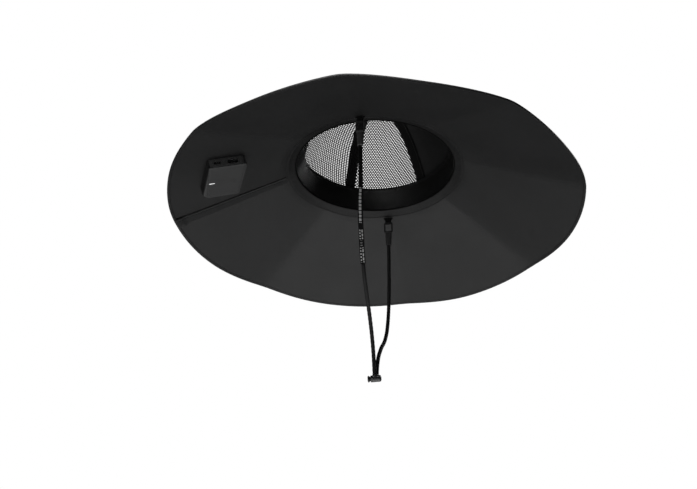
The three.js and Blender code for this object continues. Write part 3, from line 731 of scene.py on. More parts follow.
def binding_outline():
    """Section of the folded tape: distance in from the rim and height."""
    low, top, leg, tip, thick = BINDING_LOW, BINDING_TOP, BINDING_LEG, BINDING_LEG - 0.4, BINDING_THICKNESS
    middle = (top + low) / 2
    half_out = (top - low) / 2 + thick
    outline = [(leg, low), (tip, low - thick * 0.8), (2.5, low - thick * 1.05)]
    outline.append((BINDING_EDGE + 0.15, low - thick * 1.01))
    for turn in radians(linspace(-90, 90, 11)):
        outline.append((BINDING_EDGE * (1 - cos(turn)), middle + half_out * sin(turn)))
    outline += [(2.5, top + thick * 1.05), (tip, top + thick * 0.8), (leg, top)]
    outline += [(2.0, top - 0.1), (1.2, middle), (2.0, low + 0.1)]
    return array(outline).T


def make_binding():
    inset, height = binding_outline()
    azimuth = arange(0, 360, 0.6)[:, None]
    angle = radians(azimuth)
    gather = 0.07 * sin(angle * 210) + 0.04 * sin(angle * 333)
    height = height + gather * where(inset > 2, 1, 0.4)
    radius = rim_radius(azimuth) - inset
    wavy = ripple(radius, azimuth) * where(height < BRIM_THICKNESS / 2, 1.0, UPPER_RIPPLE)
    sections = polar(radius, azimuth, underside_z(radius, azimuth) + wavy + height)
    made = swept("brim_binding_tape", sections, "binding", closed=True)
    finish_piece(made, "binding", "brim_binding")
    azimuth = arange(0, 360.5, 0.5)
    radius = rim_radius(azimuth) - BINDING_LEG + 1.3
    out = BINDING_THICKNESS + 0.04
    rows = []
    for height, direction, share in ((BINDING_LOW - out, DOWN, 1.0), (BINDING_TOP + out, UP, UPPER_RIPPLE)):
        z = underside_z(radius, azimuth) + share * ripple(radius, azimuth) + height
        rows.append((polar(radius, azimuth, z), direction))
    stitches("brim_binding_stitches", rows, "thread", "binding", width=0.32)


# Seam flap at the centre back

FLAP_LOW = -5.0
FLAP_WIDTH = 17.5
FLAP_REACH = (106.0, 238.2)
FLAP_RISE = 0.11
FLAP_ROLLED = 1.2
FLAP_LAID = 0.3
FLAP_ENDS = (6.0, 9.5)
FLAP_STITCH_COLUMN = 11


def make_back_flap():
    """A sewn-down strip: it leans like the near panel and runs out on the far one."""
    reach = linspace(*FLAP_REACH, 120)
    across = concatenate([linspace(0, 0.13, 9, endpoint=False), linspace(0.13, 1, 27)])
    reach_grid, across_grid = np.meshgrid(reach, across, indexing="ij")
    aside = FLAP_WIDTH * across_grid
    x, y = -reach_grid, FLAP_LOW + aside

    def brim_face(y):
        radius, azimuth = hypot(x, y), degrees(np.arctan2(y, x))
        return underside_z(radius, azimuth) + ripple(radius, azimuth) - 1.1 * ease(radius, 227, 233.5)

    base = brim_face(y)
    edge = minimum(aside, FLAP_WIDTH - aside)
    wave = 0.08 * sin(reach_grid / 3.7 + 2.5 * across_grid) * bell(edge, 2.5, sqrt(5))
    ends = FLAP_ENDS[0] + (FLAP_ENDS[1] - FLAP_ENDS[0]) * ease(reach_grid, FLAP_REACH[0], 220.0)
    leaning = brim_face(ends) - FLAP_LAID - FLAP_RISE * (ends - y)
    rolled = sqrt(1 - clip(1 - aside / FLAP_ROLLED, 0, 1) ** 2)
    depth = base - FLAP_LAID - leaning
    gap = maximum(-depth, 0) - maximum(depth, 0) * rolled
    lower = stack([x, y, base - FLAP_LAID + (gap - sqrt(gap**2 + 0.02)) / 2 - wave], axis=-1)
    upper = stack([x, y, base + 0.2], axis=-1)
    made = shell("back_seam_flap_cloth", lower, upper, "brim", strip(across * FLAP_WIDTH, reach))
    finish_piece(made, "brim_fabric", "back_seam_flap")
    row = lower[3:-2, FLAP_STITCH_COLUMN] - (0, 0, 0.05), DOWN
    stitches("back_seam_flap_stitches", [row], "tape", "brim_fabric", width=0.34)


# Collar and sweatband

COLLAR_WIDTH = 11.8
COLLAR_DROP = 1.1
COLLAR_INNER_ROLL = 2.4
COLLAR_OUTER_ROLL = 3.2
COLLAR_LAP = 0.06


def collar_depth(out):
    """How far the padded collar hangs under the brim, from its inner edge outwards."""
    inside = clip(1 - out / COLLAR_INNER_ROLL, 0, 1)
    return COLLAR_DROP * sqrt(1 - inside**2) * ease(COLLAR_WIDTH - out, 0, COLLAR_OUTER_ROLL)


def make_collar():
    azimuth = arange(0, 360, 1.0)[:, None]
    angle = radians(azimuth)
    inner = oval_radius(OPENING_FRONT, azimuth)
    out = COLLAR_WIDTH * (1 - cos(linspace(0, pi, 25))) / 2
    gather = 1 + 0.08 * sin(angle * 76 + sin(angle * 11)) - 0.5 * bell(azimuth, 230, 20)
    under = underside_z(inner + out, azimuth) - COLLAR_LAP - collar_depth(out) * gather
    back = array([7.0, 2.0])
    over = underside_z(inner + back, azimuth) + 0.2
    sections = polar(inner + concatenate([out, back]), azimuth, concatenate([under, over], axis=1))
    made = swept("opening_collar_roll", sections, "collar", closed=True, sharp=60.0)
    finish_piece(made, "brim_fabric", "opening_collar")
    azimuth = arange(0, 360.5, 1.0)
    aside = COLLAR_WIDTH - 1.4
    radius = oval_radius(OPENING_FRONT, azimuth) + aside
    points = polar(radius, azimuth, underside_z(radius, azimuth) - COLLAR_LAP - collar_depth(aside))
    row = points, unit(polar(0.3, azimuth, -0.95))
    stitches("opening_collar_stitches", [row], "tape", "brim_fabric", width=0.34)


def make_opening_crease_shade():
    """A thin dark tube in the crease where the sweatband meets the collar, a painted shade standing in for
    the shadow there.
    """
    azimuth = arange(0, 360, 1.0)[:, None]
    thick = 0.7 * (1 + 0.06 * sin(radians(azimuth) * 118))
    radius = oval_radius(OPENING_FRONT + 0.2, azimuth) + thick * cos(turns(14))
    sections = polar(radius, azimuth, thick * sin(turns(14)) - 0.9)
    made = swept("opening_crease_shade", sections, "crease_shade", closed=True, sharp=70.0)
    finish_piece(made, "sweatband")


BAND_BOTTOM = 0.25
BAND_HEIGHT = 29.15
BAND_LEAN = 2.8
BAND_THICKNESS = 1.8
BAND_HEM = 0.9
BAND_STEP = 1.5


def band_front(share, azimuth):
    """Front radius of the band's inner face at a share of its height. Its top hangs inwards,
    most at the back, where it is slack."""
    slack = 9.2 * bell(azimuth, 197, 20) + 1.3 * bell(azimuth, 155, 25) + 2.0 * bell(azimuth, 191, 8)
    return OPENING_FRONT - 0.7 - (BAND_LEAN + slack) * share


def make_sweatband():
    up = linspace(0, 1, 27)[:, None]
    azimuth = arange(0, 360, BAND_STEP)
    angle = radians(azimuth)
    hem = bell(up, BAND_HEM, sqrt(0.0012)) * 0.35
    swell = 0.35 * sin(pi * clip(up / 0.86, 0, 1))
    wave = (0.3 * sin(angle * 7 + 1.3) + 0.12 * sin(angle * 31)) * up
    z = BAND_BOTTOM + BAND_HEIGHT * up
    front = band_front(up, azimuth)
    lower = polar(oval_radius(front, azimuth) - swell + hem + 0.5 * wave, azimuth, z)
    upper = polar(oval_radius(front + BAND_THICKNESS, azimuth) + 0.2 * wave, azimuth, z)
    flat = strip(arange(len(azimuth) + 1) * radians(BAND_STEP) * 92, z[:, 0])
    made = shell("sweatband_cloth", lower, upper, "sweatband", flat, closed=True)
    finish_piece(made, "sweatband", "sweatband")
    azimuth = arange(0, 360.5, 1.0)
    radius = oval_radius(band_front(BAND_HEM, azimuth), azimuth) + 0.25
    row = polar(radius, azimuth, BAND_BOTTOM + BAND_HEIGHT * BAND_HEM), polar(-1.0, azimuth, 0.0)
    stitches("sweatband_stitches", [row], "thread", "sweatband")


# Crown

class Profile:
    """The crown's profile by arc length, from the brim up to the top."""

    def __init__(self):
        self.line = catmull(CROWN_PROFILE, 60, mirrored=0.0)
        self.along = running(lengths(self.line))
        self.length = float(self.along[-1])
        self.table = concatenate([self.line, tangents(self.line)], axis=1).T

    def at(self, distance, outwards=0.0):
        r, z, along_r, along_z = (np.interp(distance, self.along, column) for column in self.table)
        return r + outwards * along_z, z - outwards * along_r

    def distance_at(self, height):
        return np.interp(height, self.line[:, 1], self.along)


profile = Profile()


def oval_polar(front, azimuth, z):
    return polar(front, azimuth, z) * (1, OVAL, 1)


# Crown panels between their seams, in degrees round from the front
FRONT_PANEL = (-61.0, 61.0)
MESH_PANELS = [
    ("crown_mesh_left", 61.0, 118.5),
    ("crown_mesh_back", 118.5, 241.5),
    ("crown_mesh_right", 241.5, 299.0),
]
SEAMS = [
    ("seam_tape_front_left", 61.0),
    ("seam_tape_back_left", 118.5),
    ("seam_tape_back_right", -118.5),
    ("seam_tape_front_right", -61.0),
]


def make_crown_front():
    distance = linspace(0, profile.length, 84)
    share = linspace(0, 1, 73)
    start, end = FRONT_PANEL
    grids = []
    for outwards, direction in ((0, 1), (CROWN_THICKNESS, -1)):
        r, z = profile.at(distance[:, None], outwards)
        seam = degrees(CROWN_SEAM_GAP / r)
        azimuth = start + seam + (end - start - 2 * seam) * share
        wave = 0.22 * sin(distance[:, None] / 13 + azimuth / 17) * sin(pi * share)
        wave = wave * sin(pi * distance / profile.length)[:, None]
        roll = 0.35 * direction * bell(minimum(share, 1 - share) * r * radians(end - start), 0, 1)
        grids.append(oval_polar(r + wave + roll, azimuth, z))
    middle = radians(end - start) * (share - 0.5)
    reach = profile.at(distance)[0]
    made = shell(
        "crown_front_cloth", *grids, "crown", lambda r, c, _: (middle[c] * reach[r], distance[r])
    )
    finish_piece(made, "crown_fabric", "crown_front")


# The net's lattice on the flat cloth: from one cell to the next in its row, and to the row above
MESH_PITCH = 3.1
MESH_RISE = 2.08
MESH_LEAN = 1.2
MESH_HOLE = 0.55
MESH_EDGE_DEPTH = 0.34
MESH_DEPTH = 0.8
HEM_WIDTH = 2.6


def mesh_cells(half_angle):
    """Middles of the cells as (sideways, distance up) on one panel laid flat."""
    cells = []
    for line in range(int(profile.length / MESH_RISE) + 1):
        distance = (line + 0.5) * MESH_RISE
        if distance > profile.length - 0.5 * MESH_PITCH:
            continue
        room = profile.at(distance)[0] * half_angle - CROWN_SEAM_GAP - 0.62 * MESH_PITCH
        count = int(room // MESH_PITCH) + 2
        sideways = arange(-count, count + 1) * MESH_PITCH + line * MESH_LEAN % MESH_PITCH
        cells += [(place, distance) for place in sideways if abs(place) <= room]
    return array(cells)


def make_open_mesh(name, start, end):
    """A real net: every cell is a rounded frame of thread round a six-sided hole."""
    cells = mesh_cells(radians(end - start) / 2)
    aside = array([MESH_PITCH, 0.0])
    ahead = array([MESH_LEAN, MESH_RISE])
    half_ring = stack([aside + ahead, 2 * ahead - aside, ahead - 2 * aside]) / 3
    ring = concatenate([half_ring, -half_ring])
    outer = (cells[:, None] + ring).reshape(-1, 2)
    holes = (cells[:, None] + ring * MESH_HOLE).reshape(-1, 2)
    key = np.round(outer / 0.02).astype(np.int64)
    _, first, which = np.unique(key, axis=0, return_index=True, return_inverse=True)
    joints = outer[first]
    which = which.reshape(-1, 6)

    def placed(flat, outwards):
        distance = clip(flat[:, 1], 0, profile.length)
        r, z = profile.at(distance, CROWN_THICKNESS / 2 + outwards)
        return oval_polar(r, (start + end) / 2 + degrees(flat[:, 0] / profile.at(distance)[0]), z)

    layers = ((joints, MESH_DEPTH), (holes, MESH_EDGE_DEPTH))
    points = concatenate([placed(flat, side * depth / 2) for flat, depth in layers for side in (1, -1)])
    o0, o1 = which.ravel(), np.roll(which, -1, axis=1).ravel()
    corner = arange(len(holes)).reshape(-1, 6)
    i0, i1 = corner.ravel(), np.roll(corner, -1, axis=1).ravel()
    out_back, in_front = len(joints), 2 * len(joints)
    in_back = in_front + len(holes)
    _, inverse, uses = np.unique(
        minimum(o0, o1) * len(joints) + maximum(o0, o1), return_inverse=True, return_counts=True
    )
    a, b = o0[uses[inverse] == 1], o1[uses[inverse] == 1]
    faces = [
        (o0, o1, in_front + i1, in_front + i0),
        (out_back + o0, in_back + i0, in_back + i1, out_back + o1),
        (in_front + i0, in_front + i1, in_back + i1, in_back + i0),
        (out_back + a, out_back + b, b, a),
    ]
    faces = concatenate([stack(corners, axis=1) for corners in faces]).tolist()
    finish_piece(mesh_object(name + "_net", points, faces, "mesh", None, 70.0), "crown_mesh", name)
    make_mesh_hems(name, start, end)


def make_mesh_hems(name, start, end):
    """A turned hem runs up both sides of a mesh panel and closes the net's cut edge."""
    distance = linspace(0, profile.length, 90)
    across = linspace(0, 1, 7)
    for word, seam, turn in (("from", start, 1), ("to", end, -1)):
        grids = []
        for outwards, bow in ((0.1, -0.12), (CROWN_THICKNESS - 0.1, 0.12)):
            r, z = profile.at(distance[:, None], outwards)
            width = minimum(HEM_WIDTH, 0.42 * r * radians(end - start))
            azimuth = seam + turn * degrees((CROWN_SEAM_GAP + width * across) / r)
            grids.append(oval_polar(r + bow * sin(pi * across), azimuth, z))
        flat = strip(across * HEM_WIDTH, distance)
        finish_piece(shell(f"{name}_hem_{word}", *grids, "tape", flat), "seam_tape")


TAPE_WIDTH = 12.6
TAPE_BOTTOM = 30.2
TAPE_STITCH_COLUMNS = (2, 10)
TAPE_FORWARDS = 1.6
CROWN_STITCHES_ASIDE = 2.6


def make_seam_tapes():
    distance = linspace(profile.distance_at(TAPE_BOTTOM), profile.length * 0.975, 80)
    across = linspace(-0.5, 0.5, 13)
    flat = strip(across * TAPE_WIDTH, distance)
    rows = []
    for name, seam in SEAMS:
        towards_front = -TAPE_FORWARDS * np.sign(seam) if abs(seam) < 90 else 0.0
        grids = []
        for outwards, bow, wavy in ((-1.4, 0.36, 0.07), (-0.4, 0.0, 0.0)):
            r, z = profile.at(distance[:, None], outwards)
            aside = minimum(TAPE_WIDTH, 1.15 * r) * across + towards_front * minimum(1.0, r / 60)
            azimuth = seam + degrees(np.arcsin(clip(aside / r, -0.99, 0.99)))
            wave = wavy * sin(distance[:, None] / 2.3 + 3 * across)
            grids.append(oval_polar(r + bow * (2 * abs(across)) ** 6 - wave, azimuth, z))
        finish_piece(shell(name + "_weave", *grids, "tape", flat), "seam_tape", name)
        for column in TAPE_STITCH_COLUMNS:
            line = grids[0][2:-2, column]
            inwards = unit(line * (-1, -1, -0.5))
            rows.append((line + 0.1 * inwards, inwards))
    stitches("seam_tape_stitches", rows, "thread", "seam_tape", pitch=3.0, length=2.4)
    outside = []
    distance = linspace(6, profile.length - 6, 90)
    r, z = profile.at(distance, CROWN_THICKNESS + THREAD_LIFT)
    ahead_r, ahead_z = profile.at(distance, CROWN_THICKNESS + 2.0)
    for _, seam in SEAMS:
        for aside in (-CROWN_STITCHES_ASIDE, CROWN_STITCHES_ASIDE):
            azimuth = seam + degrees(aside / r)
            points = oval_polar(r, azimuth, z)
            outside.append((points, unit(oval_polar(ahead_r, azimuth, ahead_z) - points)))
    stitches("crown_seam_stitches", outside, "thread", "crown_fabric", pitch=3.0, length=2.4)


# Radius and height over the crown's top
BUTTON_PROFILE = [
    (7.3, -2.2), (7.3, 0.0), (9.2, 0.0), (9.5, 0.5), (9.3, 1.1),
    (8.3, 1.8), (6.6, 2.25), (4.2, 2.5), (2.0, 2.6), (0.35, 2.6),
]


def make_crown_button():
    seat = profile.at(profile.length, CROWN_THICKNESS)[1] + 0.3
    radius, height = array(BUTTON_PROFILE).T[..., None]
    azimuth = arange(0, 360, 5.0)
    fold = 0.05 * sin(12 * radians(azimuth)) * minimum(1.0, radius / 6) * (height > 0.3)
    made = swept("crown_button_cloth", polar(radius, azimuth, seat + height + fold), "crown")
    finish_piece(made, "crown_fabric", "crown_button")


# Solar panels

SOLAR_INNER = 116.0
SOLAR_OUTER = 213.0
SOLAR_MARGIN = 8.0
SOLAR_CORNER = 8.0
SOLAR_SEWN = 1.8
SOLAR_THREAD_LIFT = 1.5

# Inset from the panel's outline, lift off the brim and thickness
BORDER_LAYER = (0.0, 0.45, 1.0)
CELL_LAYER = (4.5, 1.47, 0.6)


def solar_half_width(out, inset):
    half = radians(PANEL_ANGLE / 2)
    plain = out * np.tan(half) - SOLAR_MARGIN - inset / cos(half)
    corner = max(SOLAR_CORNER - inset, 1.5)
    to_end = minimum(out - SOLAR_INNER, SOLAR_OUTER - out) - inset
    return plain - corner + sqrt(maximum(corner**2 - (corner - clip(to_end, 0, corner)) ** 2, 0))


def solar_rows(inset, ends, between):
    """Distances out, closer together over the rounded corners."""
    low, high = SOLAR_INNER + inset, SOLAR_OUTER - inset
    middle = linspace(low + SOLAR_CORNER, high - SOLAR_CORNER, between)[1:-1]
    return concatenate([low + SOLAR_CORNER * ends, middle, (high - SOLAR_CORNER * ends)[::-1]])


def on_brim(panel, out, sideways):
    """Radius, azimuth and height of the brim's top over one panel laid flat."""
    radius = hypot(out, sideways)
    azimuth = (panel + 0.5) * PANEL_ANGLE + degrees(np.arctan2(sideways, out))
    return radius, azimuth, underside_z(radius, azimuth) + BRIM_THICKNESS


def solar_plate(name, panel, layer, material):
    inset, lift, thickness = layer
    out = solar_rows(inset, 1 - cos(linspace(0, pi / 2, 9)), 26)
    half = solar_half_width(out, inset)[:, None]
    sideways = half * linspace(-1, 1, 41)
    radius, azimuth, z = on_brim(panel, out[:, None], sideways)
    to_end = minimum(out - out[0], out[-1] - out)[:, None]
    edge = maximum(minimum(half - abs(sideways), to_end), 0)
    lower = polar(radius, azimuth, z + lift)
    upper = polar(radius, azimuth, z + lift + thickness - 0.3 * bell(edge, 0, 0.6))
    return shell(name, lower, upper, material, lambda r, c, _: (sideways[r, c], out[r] - out[0]))


def make_solar_panels():
    rows = []
    out = solar_rows(SOLAR_SEWN, linspace(0, 1, 10), 40)
    half = solar_half_width(out, SOLAR_SEWN)
    ends = linspace(1, -1, 30)[1:-1]
    around = concatenate([out, out[-1] + 0 * ends, out[::-1], out[0] + 0 * ends, out[:1]])
    sideways = concatenate([half, half[-1] * ends, -half[::-1], -half[0] * ends, half[:1]])
    for panel in range(PANELS):
        number = panel + 1
        border = solar_plate(f"solar_border_{number}", panel, BORDER_LAYER, "border")
        finish_piece(border, "brim_fabric", f"solar_panel_{number}")
        cells = solar_plate(f"solar_cells_{number}", panel, CELL_LAYER, "solar")
        finish_piece(cells, "solar_laminate")
        radius, azimuth, z = on_brim(panel, around, sideways)
        rows.append((polar(radius, azimuth, z + SOLAR_THREAD_LIFT), UP))
    stitches("solar_border_stitches", rows, "thread", "brim_fabric", pitch=3.2, length=2.5)


# Controller box: its solid stays, with a lighter plate on its lower face

BOX_ORIGIN = array([-168.146, -69.648, -31.627])
BOX_OUT = array([-0.87931, -0.36422, -0.30684])
BOX_ACROSS = array([0.38374, -0.92343, -0.00356])
BOX_UP = array([-0.28205, -0.12087, 0.95175])
BOX_FACE = -12.4
BOX_PLATE = [(20.3, 25.2), (-23.8, 25.6), (-24.8, -36.9), (15.0, -37.6)]
PLATE_CORNERS = (2.0, 2.0, 3.0, 3.0)
PLATE_LOW = BOX_FACE - 0.3
INDICATOR_SIZE = (6.8, 1.9, 0.9)
INDICATOR_AT = (12.3, -7.4)

# How far each section is drawn in, and its height
PLATE_LEVELS = [
    (0.0, BOX_FACE + 0.4), (0.0, PLATE_LOW + 0.22), (0.08, PLATE_LOW + 0.08), (0.3, PLATE_LOW),
    (1.5, PLATE_LOW), (1.75, PLATE_LOW + 0.12), (2.0, PLATE_LOW), (4.0, PLATE_LOW),
]
LENS_LEVELS = [
    (0.0, BOX_FACE + 0.3), (0.0, PLATE_LOW - 0.1), (0.12, PLATE_LOW - 0.2), (0.5, PLATE_LOW - 0.26),
]


def rounded_rectangle(width, height, corner, steps=8):
    points = []
    for index, (x, y) in enumerate(((1, 1), (-1, 1), (-1, -1), (1, -1))):
        middle = x * (width / 2 - corner), y * (height / 2 - corner)
        for turn in radians(linspace(0, 90, steps) + 90 * index):
            points.append((middle[0] + corner * cos(turn), middle[1] + corner * sin(turn)))
    return array(points)


def rounded_outline(corners, radii, steps=8):
    """A closed outline through rounded corners."""
    corners = array(corners)
    share = linspace(0, 1, steps)[:, None]
    points = []
    for before, here, after, radius in zip(np.roll(corners, 1, 0), corners, np.roll(corners, -1, 0), radii):
        start, end = here + unit(before - here) * radius, here + unit(after - here) * radius
        points.append((1 - share) ** 2 * start + 2 * share * (1 - share) * here + share**2 * end)
    return concatenate(points)


def box_layer(name, outline, levels, material):
    """A body from one outline at several heights, each drawn in by its own inset."""
    inset, up = array(levels).T[..., None, None]
    ring = outline - unit(outline - outline.mean(0)) * inset
    place = BOX_ORIGIN + ring[..., :1] * BOX_OUT + ring[..., 1:] * BOX_ACROSS + up * BOX_UP
    return swept(name, place, material, sharp=50.0)


def make_box_details():
    outline = rounded_outline(BOX_PLATE, PLATE_CORNERS)
    finish_piece(box_layer("box_plate", outline, PLATE_LEVELS, "plate"), "box_plastic")
    lens = rounded_rectangle(*INDICATOR_SIZE) + INDICATOR_AT
    mark = box_layer("box_indicator_lens", lens, LENS_LEVELS, "indicator")
    finish_piece(mark, "indicator", "box_indicator")
    finishes = {"control_box": "housing"}
    for port in ("usb_a", "usb_c"):
        finishes.update({port + "_shell": "metal", port + "_tongue": "port"})
    for name, finish in finishes.items():
        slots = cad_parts[name].data.materials
        slots.clear()
        slots.append(MATERIALS[finish])


# Chin strap

RING_SIZE = (11.0, 16.2)
RING_TOP = -10.5
RING_BOTTOM = -26.7
RING_BAR = 1.9
RING_CORNER = 3.0
STRAP_WIDTH = 7.0
LOOP_RADIUS = 1.75
TAB_THICKNESS = 0.85
TAB_GAP = 0.95
TAB_FLARE = 0.6
END_LOOP_THICKNESS = 1.0
END_LOOP_GAP = 2.6
END_LOOP_TOP = -28.2


def round_ring(name, centre, material):
    width, height = RING_SIZE
    half = RING_BAR / 2
    line = rounded_rectangle(width - RING_BAR, height - RING_BAR, RING_CORNER - half, 9)
    along = unit(np.roll(line, -1, axis=0) - np.roll(line, 1, axis=0))
    line, out = line[:, :, None], (along[:, ::-1] * (half, -half))[:, :, None]
    x, z = np.moveaxis(line + out * cos(turns(14)), 1, 0)
    sections = array(centre) + stack([x, 0 * x + half * sin(turns(14)), z], axis=-1)
    return swept(name, sections, material, closed=True, sharp=80.0)


def strip_along(name, line, thickness, material, flare=0.0):
    """A flat strip: line gives its middle in the YZ plane, its width runs along X."""
    x_axis = array([1.0, 0.0, 0.0])
    outline = rounded_rectangle(STRAP_WIDTH, thickness, thickness * 0.45, 4)
    normal = cross(tangents(line), x_axis)[:, None]
    widening = 1 + flare * bell(line[0, 2] - line[:, 2], 0, 1.9)[:, None, None]
    sections = line[:, None] + outline[:, :1] * widening * x_axis + outline[:, 1:] * normal
    return swept(name, sections, material)


def loop_line(centre_y, centre_z, gap, top, opens):
    """Up one leg, round a bar and back: opens is 1 where the legs point up, -1 down."""
    half = gap / 2
    start = degrees(np.arcsin(half / LOOP_RADIUS))
    angles = radians(linspace(90 + start, 450 - start, 29))
    y, z = LOOP_RADIUS * cos(angles), opens * LOOP_RADIUS * sin(angles)
    bend = stack([centre_y + y, centre_z + z], axis=1)
    leg = linspace(0, 1, 7)[:, None]
    first = array([centre_y - half, top]) * (1 - leg) + bend[0] * leg
    last = bend[-1] * (1 - leg) + array([centre_y + half, top]) * leg
    flat = concatenate([first[:-1], bend, last[1:]])
    return np.pad(flat, ((0, 0), (1, 0)))


def make_strap_hardware(word, side, hard):
    centre = side * ANCHOR
    top = float(underside_z(ANCHOR, side * 90.0)) - 0.2
    line = loop_line(centre, RING_TOP - RING_BAR / 2, TAB_GAP, top, 1)
    tab = strip_along(f"strap_tab_{word}_webbing", line, TAB_THICKNESS, "webbing", TAB_FLARE)
    finish_piece(tab, "webbing", f"strap_tab_{word}")
    ring = round_ring(f"strap_ring_{word}_bar", (0, centre, (RING_TOP + RING_BOTTOM) / 2), hard)
    finish_piece(ring, "hard_plastic", f"strap_ring_{word}")
    end = make_cord_end(f"cord_end_{word}_moulding", centre, hard)
    finish_piece(end, "hard_plastic", f"cord_end_{word}")
    return ring, end


# Heights of a cord end, from its lower lip up, with how far its lip and grips stand in or out
CORD_END = [
    (-44.6, -0.5), (-44.4, -0.15), (-43.9, 0), (-42, -0.12), (-39, 0.12), (-36, -0.12),
    (-33.8, 0), (-33.4, 0), (-33.1, 0), (-30.5, 0), (-28.8, 0), (-27.9, 0),
]
CORD_END_STEP = -33.6
CORD_END_TALL = 16.5


def make_cord_end(name, centre, material):
    """A moulded end: a tapered body whose flat top is looped round the ring's lower bar."""
    height, painted_shade_mask = array(CORD_END).T[..., None]
    share = minimum((height - height[0]) / CORD_END_TALL, 1)
    wide = where(height > CORD_END_STEP, 3.95, 3.35 + 0.3 * share + painted_shade_mask)
    deep = 2.35 + 0.2 * sin(pi * share)
    deep[:2] += painted_shade_mask[:2]
    across, ahead = (np.sign(edge) * abs(edge) ** (2 / 3.2) for edge in (cos(turns(32)), sin(turns(32))))
    sections = stack([wide * across, centre + deep * ahead, height + 0 * across], axis=-1)
    made = swept(name, sections, material, sharp=50.0)
    line = loop_line(centre, RING_BOTTOM + RING_BAR / 2, END_LOOP_GAP, END_LOOP_TOP, -1)
    finish_piece(strip_along(name + "_loop", line, END_LOOP_THICKNESS, material), "hard_plastic")
    return made


BRAID_STEP = 0.45
BRAID_TURN = 2 * pi / 5.2
BRAID_PROUD = 0.07


def braided_cord(name, route, material):
    line = resample(catmull(route, 24), BRAID_STEP)
    sides, fronts = carried_frames(line, array([1.0, 0.0, 0.0]))
    angles = turns(32)
    along = arange(len(line))[:, None] * BRAID_STEP * BRAID_TURN
    strands = maximum(cos(4 * angles + along), cos(4 * angles - along))
    radius = CORD_DIAMETER / 2 * (1.0 + BRAID_PROUD * strands)
    radius[[0, -1]] *= 0.9
    x, y = (radius * cos(angles))[..., None], (radius * sin(angles))[..., None]
    sections = line[:, None] + x * sides[:, None] + y * fronts[:, None]
    return swept(name, sections, material, sharp=80.0), line


def make_ribbon():
    line = resample(catmull(RIBBON_ROUTE, 20), 0.8)
    places, turned = line[:, :3], radians(line[:, 3])
    along = tangents(places)
    face = across_only(stack([cos(turned), sin(turned), 0 * turned], axis=1), along)
    normal = cross(face, along)
    across = linspace(-0.5, 0.5, 13)
    middle = places[:, None] + RIBBON_WIDTH * across[:, None] * face[:, None]
    cup = 0.18 * cos(pi * across) - 0.1
    half = RIBBON_THICKNESS / 2 - 0.25 * (2 * abs(across)) ** 8
    grids = [middle + lift[:, None] * normal[:, None] for lift in (cup - half, cup + half)]
    flat = strip((across + 0.5) * RIBBON_WIDTH, running(lengths(places)))
    made = shell("strap_ribbon_weave", *grids, "ribbon", flat, sharp=60.0)
    return finish_piece(made, "ribbon", "strap_ribbon"), places


LOCK_Z = -276.7
LOCK_MOUTH_X = -2.1
LOCK_RIDGES = 18
RIDGE_DEPTH = 0.12
RIDGE_SPAN = (-5.5, 1.5)

# Radius and place along X, from one end of each body to the other
BARREL = [
    (0.05, 1.4), (2.7, 1.4), (2.7, -6.6), (3.25, -7.45), (3.35, -7.5), (3.5, -7.38), (3.7, -7.05),
    (3.7, -6.5), (3.55, -6.3), (3.55, -6.0), (3.7, -5.8), (3.7, -5.0), (3.7, -3.0), (3.7, -1.0),
    (3.7, 1.0), (3.7, 2.0), (3.58, 2.7), (3.3, 3.25), (2.8, 3.65), (2.1, 3.9), (1.2, 4.0), (0.05, 4.0),
]
BUTTON = [
    (0.05, -10.6), (1.6, -10.6), (2.9, -10.55), (3.3, -10.4), (3.55, -10.1), (3.6, -9.85), (3.5, -9.55),
    (3.3, -9.4), (3.15, -9.2), (2.45, -8.2), (2.35, -8.0), (2.35, -1.1), (2.1, -0.9), (0.05, -0.9),
]
# Width, depth and height of the raised mouth that takes the two cords
MOUTH = [
    (6.0, 7.0, -276.4), (6.5, 8.1, -275.4), (6.6, 8.5, -274.4), (6.6, 8.5, -273.5), (6.45, 8.35, -273.1),
    (6.1, 8.0, -272.9), (5.2, 7.0, -272.88),
]


def turned_along_x(name, outline, material, depth=0.0):
    radius, x = array(outline).T[..., None]
    ridged = (x > RIDGE_SPAN[0]) & (x < RIDGE_SPAN[1])
    radius = radius - depth * (0.5 - 0.5 * cos(LOCK_RIDGES * turns(72))) * ridged
    sections = stack([x + 0 * radius, radius * cos(turns(72)), LOCK_Z + radius * sin(turns(72))], axis=-1)
    return swept(name, sections, material, sharp=50.0)


def make_lock():
    made = turned_along_x("cord_lock_barrel", BARREL, "lock", RIDGE_DEPTH)
    barrel = finish_piece(made, "hard_plastic", "cord_lock_body")
    sections = []
    for width, depth, z in MOUTH:
        outline = rounded_rectangle(width, depth, 2.4) + (LOCK_MOUTH_X, 0)
        sections.append(np.pad(outline, ((0, 0), (0, 1)), constant_values=z))
    finish_piece(swept("cord_lock_mouth", array(sections), "lock", sharp=50.0), "hard_plastic")
    made = turned_along_x("cord_lock_plunger", BUTTON, "lock")
    return barrel, finish_piece(made, "hard_plastic", "cord_lock_button", body="lock_button")


def make_chin_strap():
    left_ring, left_end = make_strap_hardware("left", 1, "hard")
    # The right ring and cord end take the lighter copy of the plastic, a painted light.
    right_ring, right_end = make_strap_hardware("right", -1, "lit_hard")
    lock, press = make_lock()
    left, line = braided_cord("cord_left_braid", LEFT_CORD_ROUTE, "cord")
    finish_piece(left, "cord", "cord_left")
    ribbon, line = make_ribbon()
    # The right cord takes the lighter copy of the braid, a painted light.
    right, line = braided_cord("cord_right_braid", RIGHT_CORD_ROUTE, "lit_cord")
    finish_piece(right, "cord", "cord_right")


# Stage

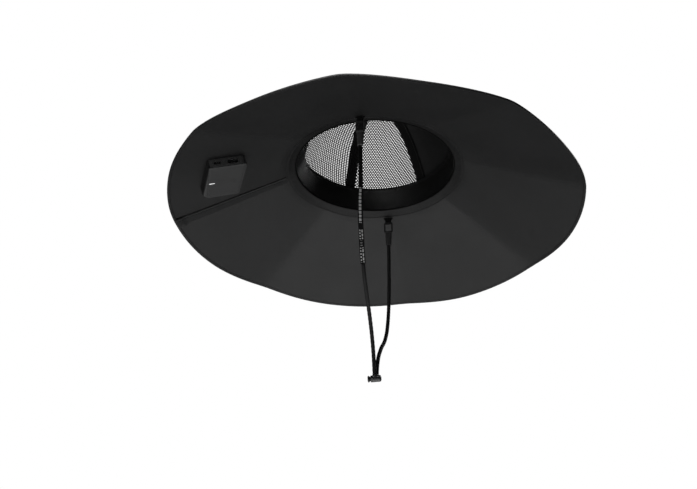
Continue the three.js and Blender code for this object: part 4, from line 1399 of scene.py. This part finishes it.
# Place, target, size and power of each soft light
LIGHTS = {
    "below": ((0.0, 0.38, -1.9), (0, 0, 0), 2.2, 25.7),
    "front": ((-1.9, -2.2, -1.5), (0, 0, -0.02), 1.6, 30.0),
    "top": ((-0.3, -1.6, 2.3), (0, 0, 0), 2.0, 100.0),
    "back": ((1.35, 1.85, 1.6), (0, 0, 0.03), 1.5, 20.0),
}
FLOOR_Z = -2.2
FLOOR_HALF = 40000.0
PAPER = ((0.78, 0.78, 0.78, 1), (0.82, 0.82, 0.82, 1))
WHITE = (1, 1, 1, 1)
SKY = (0.9, 0.94, 1, 1)
SKY_LIGHT = 0.08


def area_light(name, location, target, size, power):
    data = bpy.data.lights.new(name, "AREA")
    data.shape = "DISK"
    data.size = size
    data.energy = power
    light = bpy.data.objects.new(name, data)
    light.visible_camera = False
    aim(light, location, Vector(target) - Vector(location))


def make_floor():
    """Paper that shows as pale to the camera, however the lights fall on it."""
    net = Net("floor_paper", 0.9)
    paper = net.mix(net.noise(1.5, 2.0), *PAPER)
    net.colour(paper)
    pale = net.pale(net.shader, net.node("Emission", {"Color": paper}))
    net.plug(net.tree.nodes["Material Output"].inputs["Surface"], pale)
    corners = [(x * FLOOR_HALF, y * FLOOR_HALF, 0) for x, y in ((-1, -1), (1, -1), (1, 1), (-1, 1))]
    MATERIALS["floor"] = net.material
    floor = mesh_object("floor", corners, [[0, 1, 2, 3]], "floor")
    floor.location.z = FLOOR_Z


def make_studio():
    """White to the camera, and a faint light from all round."""
    world = bpy.data.worlds.new("studio")
    bpy.context.scene.world = world
    studio = Nodes(world)
    studio.tree.nodes.clear()
    light = studio.node("Background", {0: SKY, 1: SKY_LIGHT})
    studio.node("OutputWorld", {0: studio.pale(light, studio.node("Background", {0: WHITE, 1: 1.0}))})
    for name, settings in LIGHTS.items():
        area_light(name, *settings)
    bpy.context.scene.view_settings.view_transform = "Standard"


def main():
    make_camera()
    make_materials()
    make_chin_strap()
    make_brim()
    make_binding()
    make_back_flap()
    make_collar()
    make_opening_crease_shade()
    make_sweatband()
    make_crown_front()
    for name, start, end in MESH_PANELS:
        make_open_mesh(name, start, end)
    make_seam_tapes()
    make_crown_button()
    make_solar_panels()
    make_box_details()
    make_floor()
    make_studio()


main()
